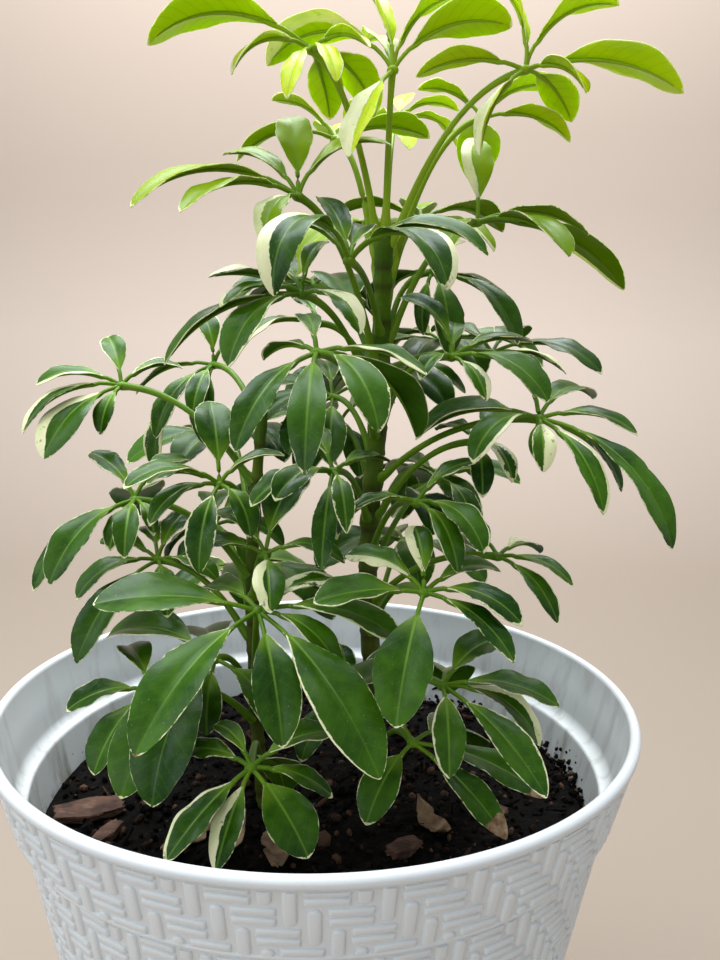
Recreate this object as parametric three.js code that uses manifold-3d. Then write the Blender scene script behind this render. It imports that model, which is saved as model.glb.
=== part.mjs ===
// A variegated umbrella plant in a white woven-pattern plastic pot.
// Millimetres, +Z up. The origin is the middle of the pot's underside, and the front faces -Y.
// Each frond, with its stalk, hub and leaflets, is one solid that stands just off its stem.

import * as THREE from 'three';
import { mergeVertices } from 'three/addons/utils/BufferGeometryUtils.js';
import Module from 'manifold-3d';

const wasm = await Module();
wasm.setup();

// Driving sizes of the pot, depths measured from its rim: a rolled lip, a collar that tapers to its lower
// edge, a step in to the shoulder, and inside it a ledge that the wall rounds into
const rimRadius = 150;
const potHeight = 250;
const baseRadius = 94;
const wall = 2.2;
const lipHeight = 5;
const collarTop = 147.8;
const collarFoot = 140.6;
const collarDepth = 34.5;
const coveDepth = 29.5;
const coveRadius = 139.6;
const ledgeDepth = 36;
const stepDepth = 38;
const shoulderRadius = 137;
const floorThickness = 4;
const potSides = 44;

// The soil's top lies this far under the rim, and every pair of neighbours keeps the same small gap
const soilDepth = 55;
const soilTop = potHeight - soilDepth;
const gap = 0.3;

// The two stems: points from the foot in the soil to the tip, heights measured from the rim
const stems = {
  main: {
    points: [[25, 6, -85], [27, 7, -20], [23, 4, 60], [27, 6, 140], [28, 5, 222]],
    foot: 4.6,
    tip: 3.4,
  },
  left: {
    points: [[-24, -16, -80], [-29, -18, 0], [-30, -21, 60], [-27, -18, 120], [-25, -16, 143]],
    foot: 3.2,
    tip: 2.2,
  },
};
const stemSides = 12;
const stemStep = 20;
const tipLength = 2;
const tipNarrowing = 0.55;
const holeRoom = 0.4;

// Parts of a frond
const stalkRadius = 1.8;
const stalkFlare = 0.8;
const stalkStandOff = 0.4;
const hubWidth = 5.44;
const hubHeight = 4.16;
const petioluleShare = 0.2;
const petioluleRadius = 1;
const rootDepth = 2;
const bladeKeel = 1.6;
const widthPerLength = 0.46;

// Where a stalk bends: this share of the way out, at this share of its rise and a little more
const bendOut = 0.42;
const bendRise = 0.85;
const bendLift = 5;

// A blade is widest past its middle: how far past, and how full its outline is
const widestShift = 1.15;
const fullness = 0.8;

// Stations from hub to tip of the solids, fewer on leaflets that are hidden or short
const seenStations = [0, petioluleShare, 0.46, 0.8, 1];
const plainStations = [0, petioluleShare, 0.6, 1];
const shortReach = 44;

// The fronds, as read from the photograph and from how such a plant grows:
// stem, height of the foot on it, hub [x, y, height], how far the leaflets turn their faces to the front
// in degrees, then the leaflets [heading, drop, reach, broadness, bow].
// Heights are measured from the rim. A heading of 0 points right, 90 away, 180 left and 270 to the front.
// The drop is the angle of the line from hub to tip below the level, the reach is its length, and the bow
// is the angle in degrees that the blade bends down through. Broadness is 1 and the bow is drawn by lot
// where they are left out. Leaflets that the photograph hides are grown by a rule.
const fronds = [
  ['main', 219, [30, -10, 283], -24, [
    [175, -3, 55, 0.95, 58], [137, -60, 50], [33, -55, 48], [0, -20, 54, 1.15], [110, -35, 40],
    [243, 49, 59, 0.75, 18]
  ]],
  ['main', 212, [87, -10, 284], -26, [
    [140, -50, 44], [192, 8, 49], [5, -35, 49], [335, 15, 67, 1.1], [310, 28, 36, 1.25], [215, 58, 46]
  ]],
  ['main', 215, [-5, -15, 289], -26, [
    [205, 8, 69], [222, 26, 44, 0.8], [258, 42, 45, 0.55], [290, 34, 42, 0.6], [318, 12, 34, 0.8],
    [140, -58, 42], [60, -35, 48]
  ]],
  ['main', 206, [36, 95, 293], -20, [
    [12, -12, 37, 0.9, 42], [348, 24, 37, 1, 50], [284, 40, 34, 1, 12], [232, 16, 37, 0.9, 20],
    [76, -36, 42, 0.8, 12], [130, -12, 48]
  ]],
  ['main', 198, [74, 25, 274], -20, [
    [350, 16, 43], [8, -24, 40], [160, -27, 36, 0.8]
  ]],
  ['main', 158, [-9, -30, 226], 26, [
    [200, 8, 68, 0.9], [224, 14, 58, 0.9], [105, -60, 43], [20, -31, 48], [250, 34, 40, 0.8],
    [150, -28, 45]
  ]],
  ['main', 196, [4, 30, 265], -20, [
    [200, 17, 50, 0.8], [160, -32, 40], [20, -5, 48], [90, -15, 48]
  ]],
  ['main', 168, [70, 0, 222], -12, [
    [95, -68, 44], [338, 9, 50, 0.9], [315, 21, 56], [2, 21, 78, 0.62], [160, -38, 54, 1.1],
    [240, 30, 40, 0.8]
  ]],
  ['main', 184, [47, 35, 228], 0, [
    [330, 23, 42], [30, 0, 52], [90, -10, 52], [160, -5, 46]
  ]],
  ['main', 172, [13, -55, 197], 26, [
    [238, 20, 50, 0.92, 80], [320, 16, 48, 1.15, 66], [125, -50, 36], [75, -45, 34], [155, -22, 38],
    [352, -3, 54, 0.9, 50]
  ]],
  ['main', 136, [-6, -45, 185], 26, [
    [228, 38, 48], [212, 11, 36], [183, -9, 38, 1.1], [205, 28, 62, 0.8], [318, 27, 36, 0.85],
    [60, -50, 30, 0.8], [120, -18, 42]
  ]],
  ['main', 124, [2, -80, 161], 26, [
    [268, 45, 56, 0.64], [238, 40, 52, 0.72], [308, 36, 45, 0.85], [342, 10, 42, 0.8], [160, -3, 36],
    [85, -40, 32]
  ]],
  ['main', 150, [-2, 4, 176], 26, [
    [205, 20, 40, 0.8], [165, 12, 40], [110, -20, 38, 0.8]
  ]],
  ['main', 139, [57, -30, 161], 26, [
    [150, -45, 36], [80, -55, 36], [235, 20, 28, 0.8], [300, 36, 30, 0.8], 
    [326, 22, 47, 0.9], [20, -10, 40]
  ]],
  ['main', 155, [83, 25, 164], 26, [
    [8, 14, 40], [335, 10, 54, 0.8], [60, -12, 48], [130, -15, 44]
  ]],
  ['main', 164, [52, 20, 202], 26, [
    [330, 38, 56, 0.8], [195, 12, 28, 0.8], [284, 57, 48, 0.82], [70, -25, 46], [243, 55, 45, 0.7]
  ]],
  ['main', 103, [92, -45, 136], 26, [
    [212, 26, 38, 0.95, 50], [105, -50, 38], [302, 43, 50, 0.68], [325, 40, 73, 0.62], [352, 8, 40, 0.9],
    [336, 32, 44, 0.7], [276, 40, 27, 1.05], [252, 40, 22, 0.8], [45, -10, 44]
  ]],
  ['main', 85, [71, -20, 124], 26, [
    [268, 42, 32, 0.9], [296, 30, 30, 0.9], [60, -20, 32], [120, -5, 32]
  ]],
  ['main', 68, [42, -50, 101], 26, [
    [298, 36, 38, 0.8], [312, 22, 39], [326, 14, 38], [25, -25, 32], [200, 4, 28, 0.8]
  ]],
  ['main', 28, [44, -75, 70], 26, [
    [188, 4, 43, 1.15, 14], [150, -15, 37], [98, -42, 32, 0.9], [341, -2, 39, 0.9],
    [325, 20, 43, 0.85], [252, 46, 54, 1.15, 22], [30, -6, 38, 0.9]
  ]],
  ['main', 44, [80, -30, 74], 26, [
    [326, 12, 35, 0.75], [308, 32, 40, 0.7], [45, 6, 34], [110, -4, 40]
  ]],
  ['left', 12, [-21, -70, 60], 26, [
    [188, -4, 63, 1.15, 16], [234, 31, 71, 0.92, 24], [290, 45, 55, 0.86, 24], [317, 35, 80, 0.74, 22],
    [30, -14, 36, 0.9], [55, -12, 42, 0.9], [1, 6, 60, 0.86, 30], [331, 24, 40, 0.8], [136, 8, 45]
  ]],
  ['left', -28, [-22, -85, 2], 26, [
    [316, 34, 40, 1.3, 16], [236, 20, 47, 0.8, 16], [256, 33, 40, 0.8, 16], [135, -20, 26, 0.8], [28, -10, 38],
    [356, 22, 34, 0.9], [160, -16, 32, 0.9]
  ]],
  ['main', -38, [43, -50, -4], 26, [
    [233, 34, 40, 1.05], [316, 25, 54, 0.74, 16], [341, 14, 58, 0.7, 20], [130, -8, 28]
  ]],
  ['main', -14, [54, -60, 26], 26, [
    [270, 38, 39, 0.92], [38, -22, 36, 1.3], [346, 4, 47, 0.85], [312, 27, 59, 0.7, 20], [335, 20, 45, 0.85]
  ]],
  ['main', -26, [15, -25, 4], 26, [
    [322, 26, 49, 1.2], [105, -48, 28], [35, -30, 36], [230, 30, 36], [165, -10, 30]
  ]],
  ['left', 2, [-43, -44, 30], 26, [
    [237, 37, 66, 1.1], [247, 36, 66, 1.1], [268, 38, 45, 1.1], [318, 34, 48]
  ]],
  ['left', -8, [-70, -50, 18], 26, [
    [198, 9, 34], [236, 27, 46, 1.1], [254, 34, 39], [284, 36, 60], [330, 26, 42, 1.1],
    [120, -10, 40], [60, -2, 40]
  ]],
  ['left', 88, [-42, -35, 105], 26, [
    [312, 40, 30, 1.1], [262, 50, 42, 0.8], [115, -50, 45, 1.1], [35, -32, 36, 0.8],
    [186, 0, 31, 0.9], [206, 5, 42, 0.9], [222, 23, 36, 0.8]
  ]],
  ['left', 62, [-80, -30, 97], 26, [
    [232, 35, 51, 0.9], [215, 40, 56, 0.7], [256, 40, 28, 0.9], [310, 36, 22, 0.8],
    [276, 50, 34, 0.8], [150, -34, 34, 0.9], [50, -26, 34, 0.9]
  ]],
  ['left', 104, [-92, -5, 146], 26, [
    [192, 0, 37, 0.9], [208, 26, 48, 0.9], [230, 38, 50, 1.1], [256, 42, 28, 0.9],
    [30, -16, 30, 0.9], [120, -42, 34, 0.9]
  ]],
  ['left', 130, [-55, 25, 156], 26, [
    [226, 46, 48, 0.8], [208, 54, 60, 0.7], [246, 40, 44, 0.8], [265, 54, 42, 0.8], [45, -34, 34],
    [120, -45, 34], [170, 20, 44, 0.8]
  ]],
  ['left', 32, [-77, -5, 64], 26, [
    [238, 37, 60, 0.8], [68, -38, 32], [345, 14, 32], [160, -10, 34], [110, -10, 40],
    [208, 22, 40], [292, 36, 34]
  ]],
  ['left', 47, [-53, 10, 78], 26, [
    [312, 38, 46], [165, 25, 40, 0.9], [45, -22, 40], [100, -12, 44], [205, 32, 38],
    [258, 44, 36, 0.9], [352, 14, 36]
  ]],
  ['main', 84, [7, -40, 112], 26, [
    [275, 52, 48, 0.58], [306, 42, 44, 0.62], [196, 20, 38], [40, -4, 32], [232, 28, 36],
    [120, -24, 36]
  ]],
  ['left', 52, [-21, -46, 77], 26, [
    [70, -45, 45, 1.1], [215, 33, 36], [352, 3, 34], [130, -40, 36], [280, 32, 36], [178, 2, 36]
  ]],
  ['main', 58, [62, 50, 97], 26, [
    [345, 0, 42], [300, 40, 38], [60, 5, 46], [130, 0, 44], [200, 20, 34, 0.9]
  ]],
  ['main', 98, [7, 55, 126], 26, [
    [175, 0, 46, 1.1], [45, -20, 44], [110, -5, 46], [235, 40, 42, 1.1], [205, 20, 44, 1.1],
    [285, 40, 40]
  ]],
  ['main', 116, [4, 30, 141], 26, [
    [170, -5, 44], [232, 40, 42, 1.1], [100, -25, 42], [200, 20, 44], [270, 45, 40, 1.1]
  ]],
  ['main', 176, [30, 70, 232], 26, []],
  ['main', 152, [-8, 72, 200], 26, []],
  ['main', 128, [62, 66, 170], 26, []],
  ['left', 72, [-52, 58, 118], 26, []],
  ['main', 106, [24, 84, 150], 26, []],
  ['main', 72, [48, 80, 100], 26, []],
  ['main', 20, [44, 84, 56], 26, []],
  ['left', 4, [-46, 64, 44], 26, []],
];

// How hidden leaflets fill a frond: the step between headings, the widest gap that is left, drop, reach,
// broadness, and how far a heading must point away from the front
const fillStep = 64;
const fillGap = 94;
const fillDrop = 16;
const fillReach = 56;
const fillBroadness = 1.15;
const fillAwayness = 0.2;

// How far sample points of a leaflet stay from what is already there
const bladeRoom = 4.6;
const siblingRoom = 3;
const stalkRoom = 5.4;
const stemRoom = 8.6;
const wallRoom = 6;
const soilRoom = 5;
const crowdedShare = 0.35;
const samplesAlong = 12;
const samplesAcross = 7;
const stalkSamples = 24;
const stemSamples = 80;

// How far stalks stay from each other and from the other stem
const stalkApart = 3.9;
const otherStemApart = 7;
const hubCrowd = 0.85;

// Ways out for a leaflet that would cross something: turned, raised or lowered, and shortened
const waysOut = [
  [0, 0, 1], [7, 0, 1], [-7, 0, 1], [0, 7, 1], [0, -7, 1],
  [10, 7, 1], [-10, 7, 1], [10, -7, 1], [-10, -7, 1],
  [16, 0, 1], [-16, 0, 1], [0, 15, 1], [0, -15, 1],
  [0, 0, 0.85], [14, 0, 0.85], [-14, 0, 0.85], [0, 14, 0.85], [0, -14, 0.85],
  [24, 8, 0.85], [-24, 8, 0.85], [24, -10, 0.85], [-24, -10, 0.85],
  [0, 0, 0.7], [18, 0, 0.7], [-18, 0, 0.7], [0, 18, 0.7], [0, -18, 0.7],
];
const stalkBows = [0, 7, -7, 14, -14, 21, -21, 28, -28];

const radians = Math.PI / 180;

// What lies on the soil: dry leaves [x, y, turn, length, width, curl], then chips of bark
// [x, y, turn, length, width]
const dryLeaves = [
  [-15, -50, 94, 44, 15, 3],
  [-35, -50, 82, 38, 9, 4],
  [-54, -46, 60, 36, 14, 3],
  [54, -34, 110, 32, 12, 6],
];
const dryLeafThickness = 1.2;
const barkChips = [
  [-106, -26, 20, 30, 17],
  [40, -54, 35, 15, 10],
  [84, -22, 150, 13, 8],
  [-92, -44, 70, 16, 8],
];
const chipThickness = 3.5;
const chipTaper = 0.35;

// A small seeded generator, so that the plant grows the same way every time
let seed = 20481;
function draw(low, high) {
  seed = (Math.imul(seed, 1664525) + 1013904223) >>> 0;
  return low + (high - low) * (seed / 4294967296);
}

// Geometry to solid and back
function solidOf(geometry) {
  geometry.deleteAttribute('normal');
  geometry.deleteAttribute('uv');
  const merged = mergeVertices(geometry, 1e-4);
  return new wasm.Manifold(new wasm.Mesh({
    numProp: 3,
    vertProperties: new Float32Array(merged.attributes.position.array),
    triVerts: new Uint32Array(merged.index.array),
  }));
}

function geometryOf(solid) {
  const mesh = solid.getMesh();
  const geometry = new THREE.BufferGeometry();
  geometry.setAttribute('position', new THREE.BufferAttribute(new Float32Array(mesh.vertProperties), 3));
  geometry.setIndex(new THREE.BufferAttribute(new Uint32Array(mesh.triVerts), 1));
  geometry.computeVertexNormals();
  return geometry;
}

function finish(color, roughness) {
  return new THREE.MeshStandardMaterial({ color, roughness, metalness: 0 });
}

function piece(name, solid, material) {
  const mesh = new THREE.Mesh(geometryOf(solid), material);
  mesh.name = name;
  return mesh;
}

// Bends a cone or cylinder, one unit long, into shape: place gives the new point for a vertex from
// its share of the way along and its two unit offsets across
function bend(form, place) {
  const positions = form.attributes.position;
  for (let i = 0; i < positions.count; i++) {
    const along = positions.getY(i) + 0.5;
    const across = positions.getX(i);
    const above = positions.getZ(i);
    const size = Math.hypot(across, above) || 1;
    const point = place(along, across / size, above / size, Math.hypot(across, above) > 1e-6);
    positions.setXYZ(i, point.x, point.y, point.z);
  }
  return form;
}

// Pot: one lathe profile, out from the axis under the base, up the outside and down the inside
function makePot() {
  const at = (radius, depth) => new THREE.Vector2(radius, potHeight - depth);
  const slope = (shoulderRadius - baseRadius) / (potHeight - stepDepth);
  const innerBase = baseRadius + floorThickness * slope - wall;
  const innerShoulder = shoulderRadius - wall;
  const profile = [
    new THREE.Vector2(0, 0),
    new THREE.Vector2(baseRadius - 2, 0),
    new THREE.Vector2(baseRadius, 2),
    at(shoulderRadius, stepDepth),
    at(collarFoot - 1, collarDepth + 1),
    at(collarFoot, collarDepth),
    at(collarTop, lipHeight + 1.5),
    at(rimRadius - 0.4, lipHeight - 0.4),
    at(rimRadius, lipHeight / 2),
    at(rimRadius - 0.9, 0.5),
    at(rimRadius - 2.4, 0),
    at(rimRadius - 3.8, 1),
    at(rimRadius - 4.6, lipHeight),
    at(coveRadius, coveDepth),
    at(coveRadius - 1.8, coveDepth + 3.5),
    at(innerShoulder + 0.8, ledgeDepth - 0.8),
    at(innerShoulder, ledgeDepth + 0.2),
    new THREE.Vector2(innerBase, floorThickness),
    new THREE.Vector2(0, floorThickness),
  ];
  const lathe = new THREE.LatheGeometry(profile, potSides).rotateX(Math.PI / 2);
  return outward(lathe);
}

// The lathe turns about +Y, so it is stood up and, where needed, its faces are turned outward
function outward(geometry) {
  const solid = solidOf(geometry);
  if (solid.volume() > 0) return solid;
  const index = geometry.index.array;
  for (let i = 0; i < index.length; i += 3) [index[i], index[i + 1]] = [index[i + 1], index[i]];
  return solidOf(geometry);
}

// Height of the soil's top: a low mound with shallow dips
function soilHeight(x, y) {
  const mound = 3 * (1 - (x * x + y * y) / (130 * 130));
  return soilTop + mound + 0.5 * Math.sin(x * 0.07 + 1) * Math.cos(y * 0.06);
}

function innerWallAt(z) {
  const share = (z - floorThickness) / (potHeight - ledgeDepth - floorThickness);
  const slope = (shoulderRadius - baseRadius) / (potHeight - stepDepth);
  const innerBase = baseRadius + floorThickness * slope - wall;
  return innerBase + share * (shoulderRadius - wall - innerBase);
}

function makeSoil(holes) {
  const edge = (z) => innerWallAt(z) - 1.5 * gap;
  const bottom = floorThickness + gap;
  const profile = [
    new THREE.Vector2(0, bottom),
    new THREE.Vector2(edge(bottom), bottom),
    new THREE.Vector2(edge(soilTop), soilTop),
  ];
  for (const share of [0.8, 0.5, 0.2, 0]) profile.push(new THREE.Vector2(share * edge(soilTop), soilTop));
  const lathe = new THREE.LatheGeometry(profile, potSides).rotateX(Math.PI / 2);
  const positions = lathe.attributes.position;
  for (let i = 0; i < positions.count; i++) {
    if (positions.getZ(i) < soilTop - 1) continue;
    positions.setZ(i, soilHeight(positions.getX(i), positions.getY(i)));
  }
  let soil = outward(lathe);
  for (const hole of holes) soil = soil.subtract(hole);
  return soil;
}

// Stems: smooth curves that taper to a blunt tip
function curveOf(stem) {
  return new THREE.CatmullRomCurve3(stem.points.map(([x, y, z]) => new THREE.Vector3(x, y, z + potHeight)));
}

function stemRadiusAt(stem, height) {
  const low = stem.points[0][2];
  const high = stem.points[stem.points.length - 1][2];
  return stem.foot + (stem.tip - stem.foot) * (height - low) / (high - low);
}

// The point of a stem's middle line at a height above the rim, found by halving
function stemPointAt(stem, height) {
  const curve = curveOf(stem);
  let low = 0;
  let high = 1;
  for (let i = 0; i < 40; i++) {
    const middle = (low + high) / 2;
    if (curve.getPoint(middle).z - potHeight < height) low = middle;
    else high = middle;
  }
  return curve.getPoint((low + high) / 2);
}

function makeStem(name) {
  const stem = stems[name];
  const low = stem.points[0][2];
  const high = stem.points[stem.points.length - 1][2];
  const levels = [];
  for (let level = low; level < high - stemStep / 2; level += stemStep) levels.push(level);
  levels.push(high - tipLength, high);
  const last = levels.length - 1;
  const form = new THREE.CylinderGeometry(1, 1, 1, stemSides, last);
  return solidOf(bend(form, (along, across, above, outer) => {
    const order = Math.round(along * last);
    const middle = stemPointAt(stem, levels[order]);
    const closing = order === last ? tipNarrowing : 1;
    const radius = outer ? stemRadiusAt(stem, levels[order]) * closing : 0;
    return new THREE.Vector3(middle.x + across * radius, middle.y - above * radius, middle.z);
  }));
}

function makeHole(name) {
  const stem = stems[name];
  const top = stemPointAt(stem, 10 - soilDepth);
  const foot = stemPointAt(stem, stem.points[0][2]);
  const radius = stem.foot + holeRoom;
  const form = new THREE.CylinderGeometry(1, 1, 1, 10, 1);
  return solidOf(bend(form, (along, across, above, outer) => {
    const middle = foot.clone().lerp(top, along);
    const r = outer ? radius : 0;
    const height = middle.z - (along < 0.5 ? gap : 0);
    return new THREE.Vector3(middle.x + across * r, middle.y - above * r, height);
  }));
}

// A stalk runs from its foot beside the stem up and outward to the hub, bowed aside where it must be
function stalkCurve(row, bow) {
  const [stemName, footHeight, hub] = row;
  const stem = stems[stemName];
  const middle = stemPointAt(stem, footHeight);
  const end = new THREE.Vector3(hub[0], hub[1], hub[2] + potHeight);
  const outX = end.x - middle.x;
  const outY = end.y - middle.y;
  const out = Math.sqrt(outX * outX + outY * outY);
  const stand = stemRadiusAt(stem, footHeight) + stalkStandOff;
  const start = new THREE.Vector3(middle.x + outX / out * stand, middle.y + outY / out * stand, middle.z);
  const rise = end.z - start.z;
  const bent = new THREE.Vector3(
    start.x + bendOut * (end.x - start.x) - bow * outY / out,
    start.y + bendOut * (end.y - start.y) + bow * outX / out,
    start.z + bendRise * rise + bendLift,
  );
  return new THREE.QuadraticBezierCurve3(start, bent, end);
}

// The middle line and the two cross directions of a leaflet, at a share of the way from hub to tip
function leafletFrame(hub, leaf, share) {
  const { heading, drop, reach, bow, turned } = leaf;
  const ch = Math.cos(heading);
  const sh = Math.sin(heading);
  const cd = Math.cos(drop);
  const sd = Math.sin(drop);
  const turn = bow * (1 - 2 * share);
  const scale = reach / (2 * Math.sin(bow));
  const ahead = scale * (Math.sin(bow) - Math.sin(turn));
  const lift = scale * (Math.cos(turn) - Math.cos(bow));
  const point = [
    hub[0] + ahead * ch * cd + lift * ch * sd,
    hub[1] + ahead * sh * cd + lift * sh * sd,
    hub[2] - ahead * sd + lift * cd,
  ];
  const ct = Math.cos(turn);
  const st = Math.sin(turn);
  const normal = [ct * ch * sd - st * ch * cd, ct * sh * sd - st * sh * cd, ct * cd + st * sd];
  const cr = Math.cos(turned * share);
  const sr = Math.sin(turned * share);
  const side = [-sh * cr + normal[0] * sr, ch * cr + normal[1] * sr, normal[2] * sr];
  const up = [normal[0] * cr + sh * sr, normal[1] * cr - ch * sr, normal[2] * cr];
  return { point, side, up };
}

// Half the width of the blade at a share of its own length: narrow foot, widest past the middle
function halfWidth(leaf, share) {
  if (share <= 0 || share >= 1) return 0;
  return leaf.width / 2 * Math.pow(Math.sin(Math.PI * Math.pow(share, widestShift)), fullness);
}

function leafletSamples(hub, leaf) {
  const samples = [];
  for (const share of [0.5 * petioluleShare, petioluleShare]) {
    samples.push([...leafletFrame(hub, leaf, share).point, share]);
  }
  for (let i = 1; i <= samplesAlong; i++) {
    const share = petioluleShare + (1 - petioluleShare) * i / samplesAlong;
    const { point, side, up } = leafletFrame(hub, leaf, share);
    const half = halfWidth(leaf, i / samplesAlong);
    const count = half < 1 ? 1 : samplesAcross;
    for (let j = 0; j < count; j++) {
      const across = count === 1 ? 0 : half * (2 * j / (count - 1) - 1);
      const fold = Math.abs(across) * leaf.fold;
      samples.push([
        point[0] + side[0] * across + up[0] * fold,
        point[1] + side[1] * across + up[1] * fold,
        point[2] + side[2] * across + up[2] * fold,
        share,
      ]);
    }
  }
  return samples;
}

// What is already there: sample points with the room each one needs and the frond it belongs to
const taken = [];
function take(samples, room, owner) {
  for (const [x, y, z, share] of samples) {
    taken.push({ x, y, z, room, owner, crowded: share < crowdedShare });
  }
}

function meetsPot([x, y, z]) {
  const r = Math.sqrt(x * x + y * y);
  const lip = 4;
  if (r < rimRadius && z < soilTop + soilRoom) return true;
  if (r < rimRadius && r > shoulderRadius - wall - wallRoom && z < potHeight - ledgeDepth + 2) return true;
  return z < potHeight + wallRoom && r > rimRadius - lip - wallRoom && r < rimRadius + wallRoom;
}

function isClear(samples, owner) {
  const low = [0, 1, 2].map((axis) => Math.min(...samples.map((s) => s[axis])) - stemRoom);
  const high = [0, 1, 2].map((axis) => Math.max(...samples.map((s) => s[axis])) + stemRoom);
  const inBox = (t) => [t.x, t.y, t.z].every((value, axis) => value > low[axis] && value < high[axis]);
  const near = taken.filter(inBox);
  for (const sample of samples) {
    if (meetsPot(sample)) return false;
    for (const t of near) {
      const own = t.owner === owner;
      if (own && (sample[3] < crowdedShare || t.crowded)) continue;
      const room = own ? Math.min(siblingRoom, t.room) : t.room;
      const dx = sample[0] - t.x;
      const dy = sample[1] - t.y;
      const dz = sample[2] - t.z;
      if (dx * dx + dy * dy + dz * dz < room * room) return false;
    }
  }
  return true;
}

function stalkSamplesOf(curve) {
  const samples = [];
  for (let i = 0; i <= stalkSamples; i++) {
    const p = curve.getPoint(i / stalkSamples);
    samples.push([p.x, p.y, p.z, i / stalkSamples]);
  }
  return samples;
}

// A stalk has to keep clear of other stalks and of the other stem
function stalkIsClear(samples, stemName) {
  for (const t of taken) {
    if (t.stem === stemName) continue;
    const room = t.stem ? otherStemApart : stalkApart;
    for (let i = 1; i < samples.length; i++) {
      const dx = samples[i][0] - t.x;
      const dy = samples[i][1] - t.y;
      const dz = samples[i][2] - t.z;
      if (dx * dx + dy * dy + dz * dz < room * room) return false;
    }
  }
  return true;
}

// Growth: stems first, then every stalk, then the leaflets that are seen, then those that are hidden
function grow() {
  for (const name of ['main', 'left']) {
    const curve = curveOf(stems[name]);
    for (let i = 0; i <= stemSamples; i++) {
      const p = curve.getPoint(i / stemSamples);
      taken.push({ x: p.x, y: p.y, z: p.z, room: stemRoom, owner: -1, crowded: false, stem: name });
    }
  }
  const grown = fronds.map((row, index) => {
    let bow = stalkBows.find((trial) => stalkIsClear(stalkSamplesOf(stalkCurve(row, trial)), row[0]));
    if (bow === undefined) bow = 0;
    const curve = stalkCurve(row, bow);
    for (const [x, y, z, along] of stalkSamplesOf(curve)) {
      taken.push({ x, y, z, room: stalkRoom, owner: index, crowded: along > hubCrowd });
    }
    return { index, curve, hub: [row[2][0], row[2][1], row[2][2] + potHeight], leaves: [] };
  });
  for (const frond of grown) {
    for (const [heading, drop, reach, broad = 1, bow] of fronds[frond.index][4]) {
      addLeaflet(frond, heading, drop, reach, broad, false, bow);
    }
  }
  for (const frond of grown) fillFrond(frond);
  return grown;
}

function addLeaflet(frond, heading, drop, reach, broad, hidden, bow) {
  const drawn = draw(26, 44);
  const leaf = {
    hidden,
    bow: (bow ?? drawn) * radians,
    roll: draw(-12, 12),
    fold: draw(0.14, 0.34),
  };
  const slim = draw(0.92, 1.08);
  const face = fronds[frond.index][3];
  for (const [turn, lower, shorter] of waysOut) {
    leaf.heading = (heading + turn) * radians;
    leaf.drop = (drop + lower) * radians;
    leaf.reach = reach * shorter;
    leaf.turned = (leaf.roll + face * Math.cos(leaf.heading)) * radians;
    leaf.width = leaf.reach * (1 - petioluleShare) * widthPerLength * broad * slim;
    const samples = leafletSamples(frond.hub, leaf);
    if (!isClear(samples, frond.index)) continue;
    take(samples, bladeRoom, frond.index);
    frond.leaves.push(leaf);
    return;
  }
}

// A frond of the far side starts with one leaflet of its own. The others are filled away from the front.
function fillFrond(frond) {
  const bare = frond.leaves.length === 0;
  const headings = frond.leaves.map((leaf) => ((leaf.heading / radians) % 360 + 360) % 360);
  headings.sort((a, b) => a - b);
  if (bare) {
    headings.push(draw(0, 60));
    const drop = fillDrop + draw(-8, 8);
    const reach = fillReach + draw(-6, 6);
    addLeaflet(frond, headings[0], drop, reach, fillBroadness, true);
  }
  const stops = [...headings, headings[0] + 360];
  for (let i = 1; i < stops.length; i++) {
    const open = stops[i] - stops[i - 1];
    if (open < fillGap) continue;
    const count = Math.round(open / fillStep) - 1;
    for (let j = 1; j <= count; j++) {
      const heading = stops[i - 1] + open * j / (count + 1) + draw(-7, 7);
      if (!bare && Math.sin(heading * radians) < fillAwayness) continue;
      const drop = fillDrop + draw(-10, 12);
      const reach = fillReach + draw(-8, 8);
      addLeaflet(frond, heading, drop, reach, fillBroadness, true);
    }
  }
}

// Solids of a frond
function makeLeaflet(hub, leaf) {
  const stations = leaf.hidden || leaf.reach < shortReach ? plainStations : seenStations;
  const last = stations.length - 1;
  const form = new THREE.ConeGeometry(1, 1, 4, last);
  return solidOf(bend(form, (along, across, above, outer) => {
    const share = along === 0 ? rootDepth / leaf.reach : stations[Math.round(along * last)];
    const { point, side, up } = leafletFrame(hub, leaf, share);
    const own = (share - petioluleShare) / (1 - petioluleShare);
    const half = Math.max(halfWidth(leaf, own), share < 1 ? petioluleRadius : 0);
    const lift = Math.abs(across) > 0.5 ? (half - petioluleRadius) * leaf.fold : 0;
    const blade = own > 0.1;
    const over = blade ? 0 : petioluleRadius;
    const under = blade ? -bladeKeel : -bladeKeel / 2;
    const ridge = above > 0.5 ? over : under;
    const a = outer ? -across * half : 0;
    const b = outer ? lift + (Math.abs(above) > 0.5 ? ridge : 0) : 0;
    return new THREE.Vector3(
      point[0] + side[0] * a + up[0] * b,
      point[1] + side[1] * a + up[1] * b,
      point[2] + side[2] * a + up[2] * b,
    );
  }));
}

// The foot of a stalk is an upright disc that faces the stem
function makeStalk(frond) {
  const { curve } = frond;
  const [stemName, footHeight] = fronds[frond.index];
  const outwards = curve.getPoint(0).sub(stemPointAt(stems[stemName], footHeight));
  const form = new THREE.CylinderGeometry(1, 1, 1, 5, 4);
  const upright = new THREE.Vector3(0, 0, 1);
  return solidOf(bend(form, (along, across, above, outer) => {
    const middle = curve.getPoint(along);
    const ahead = along === 0 ? outwards : curve.getTangent(along);
    const side = new THREE.Vector3().crossVectors(ahead, upright).normalize();
    const over = along === 0 ? upright : new THREE.Vector3().crossVectors(side, ahead);
    const radius = outer ? stalkRadius + (along === 0 ? stalkFlare : 0) : 0;
    return middle.addScaledVector(side, across * radius).addScaledVector(over, above * radius);
  }));
}

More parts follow.
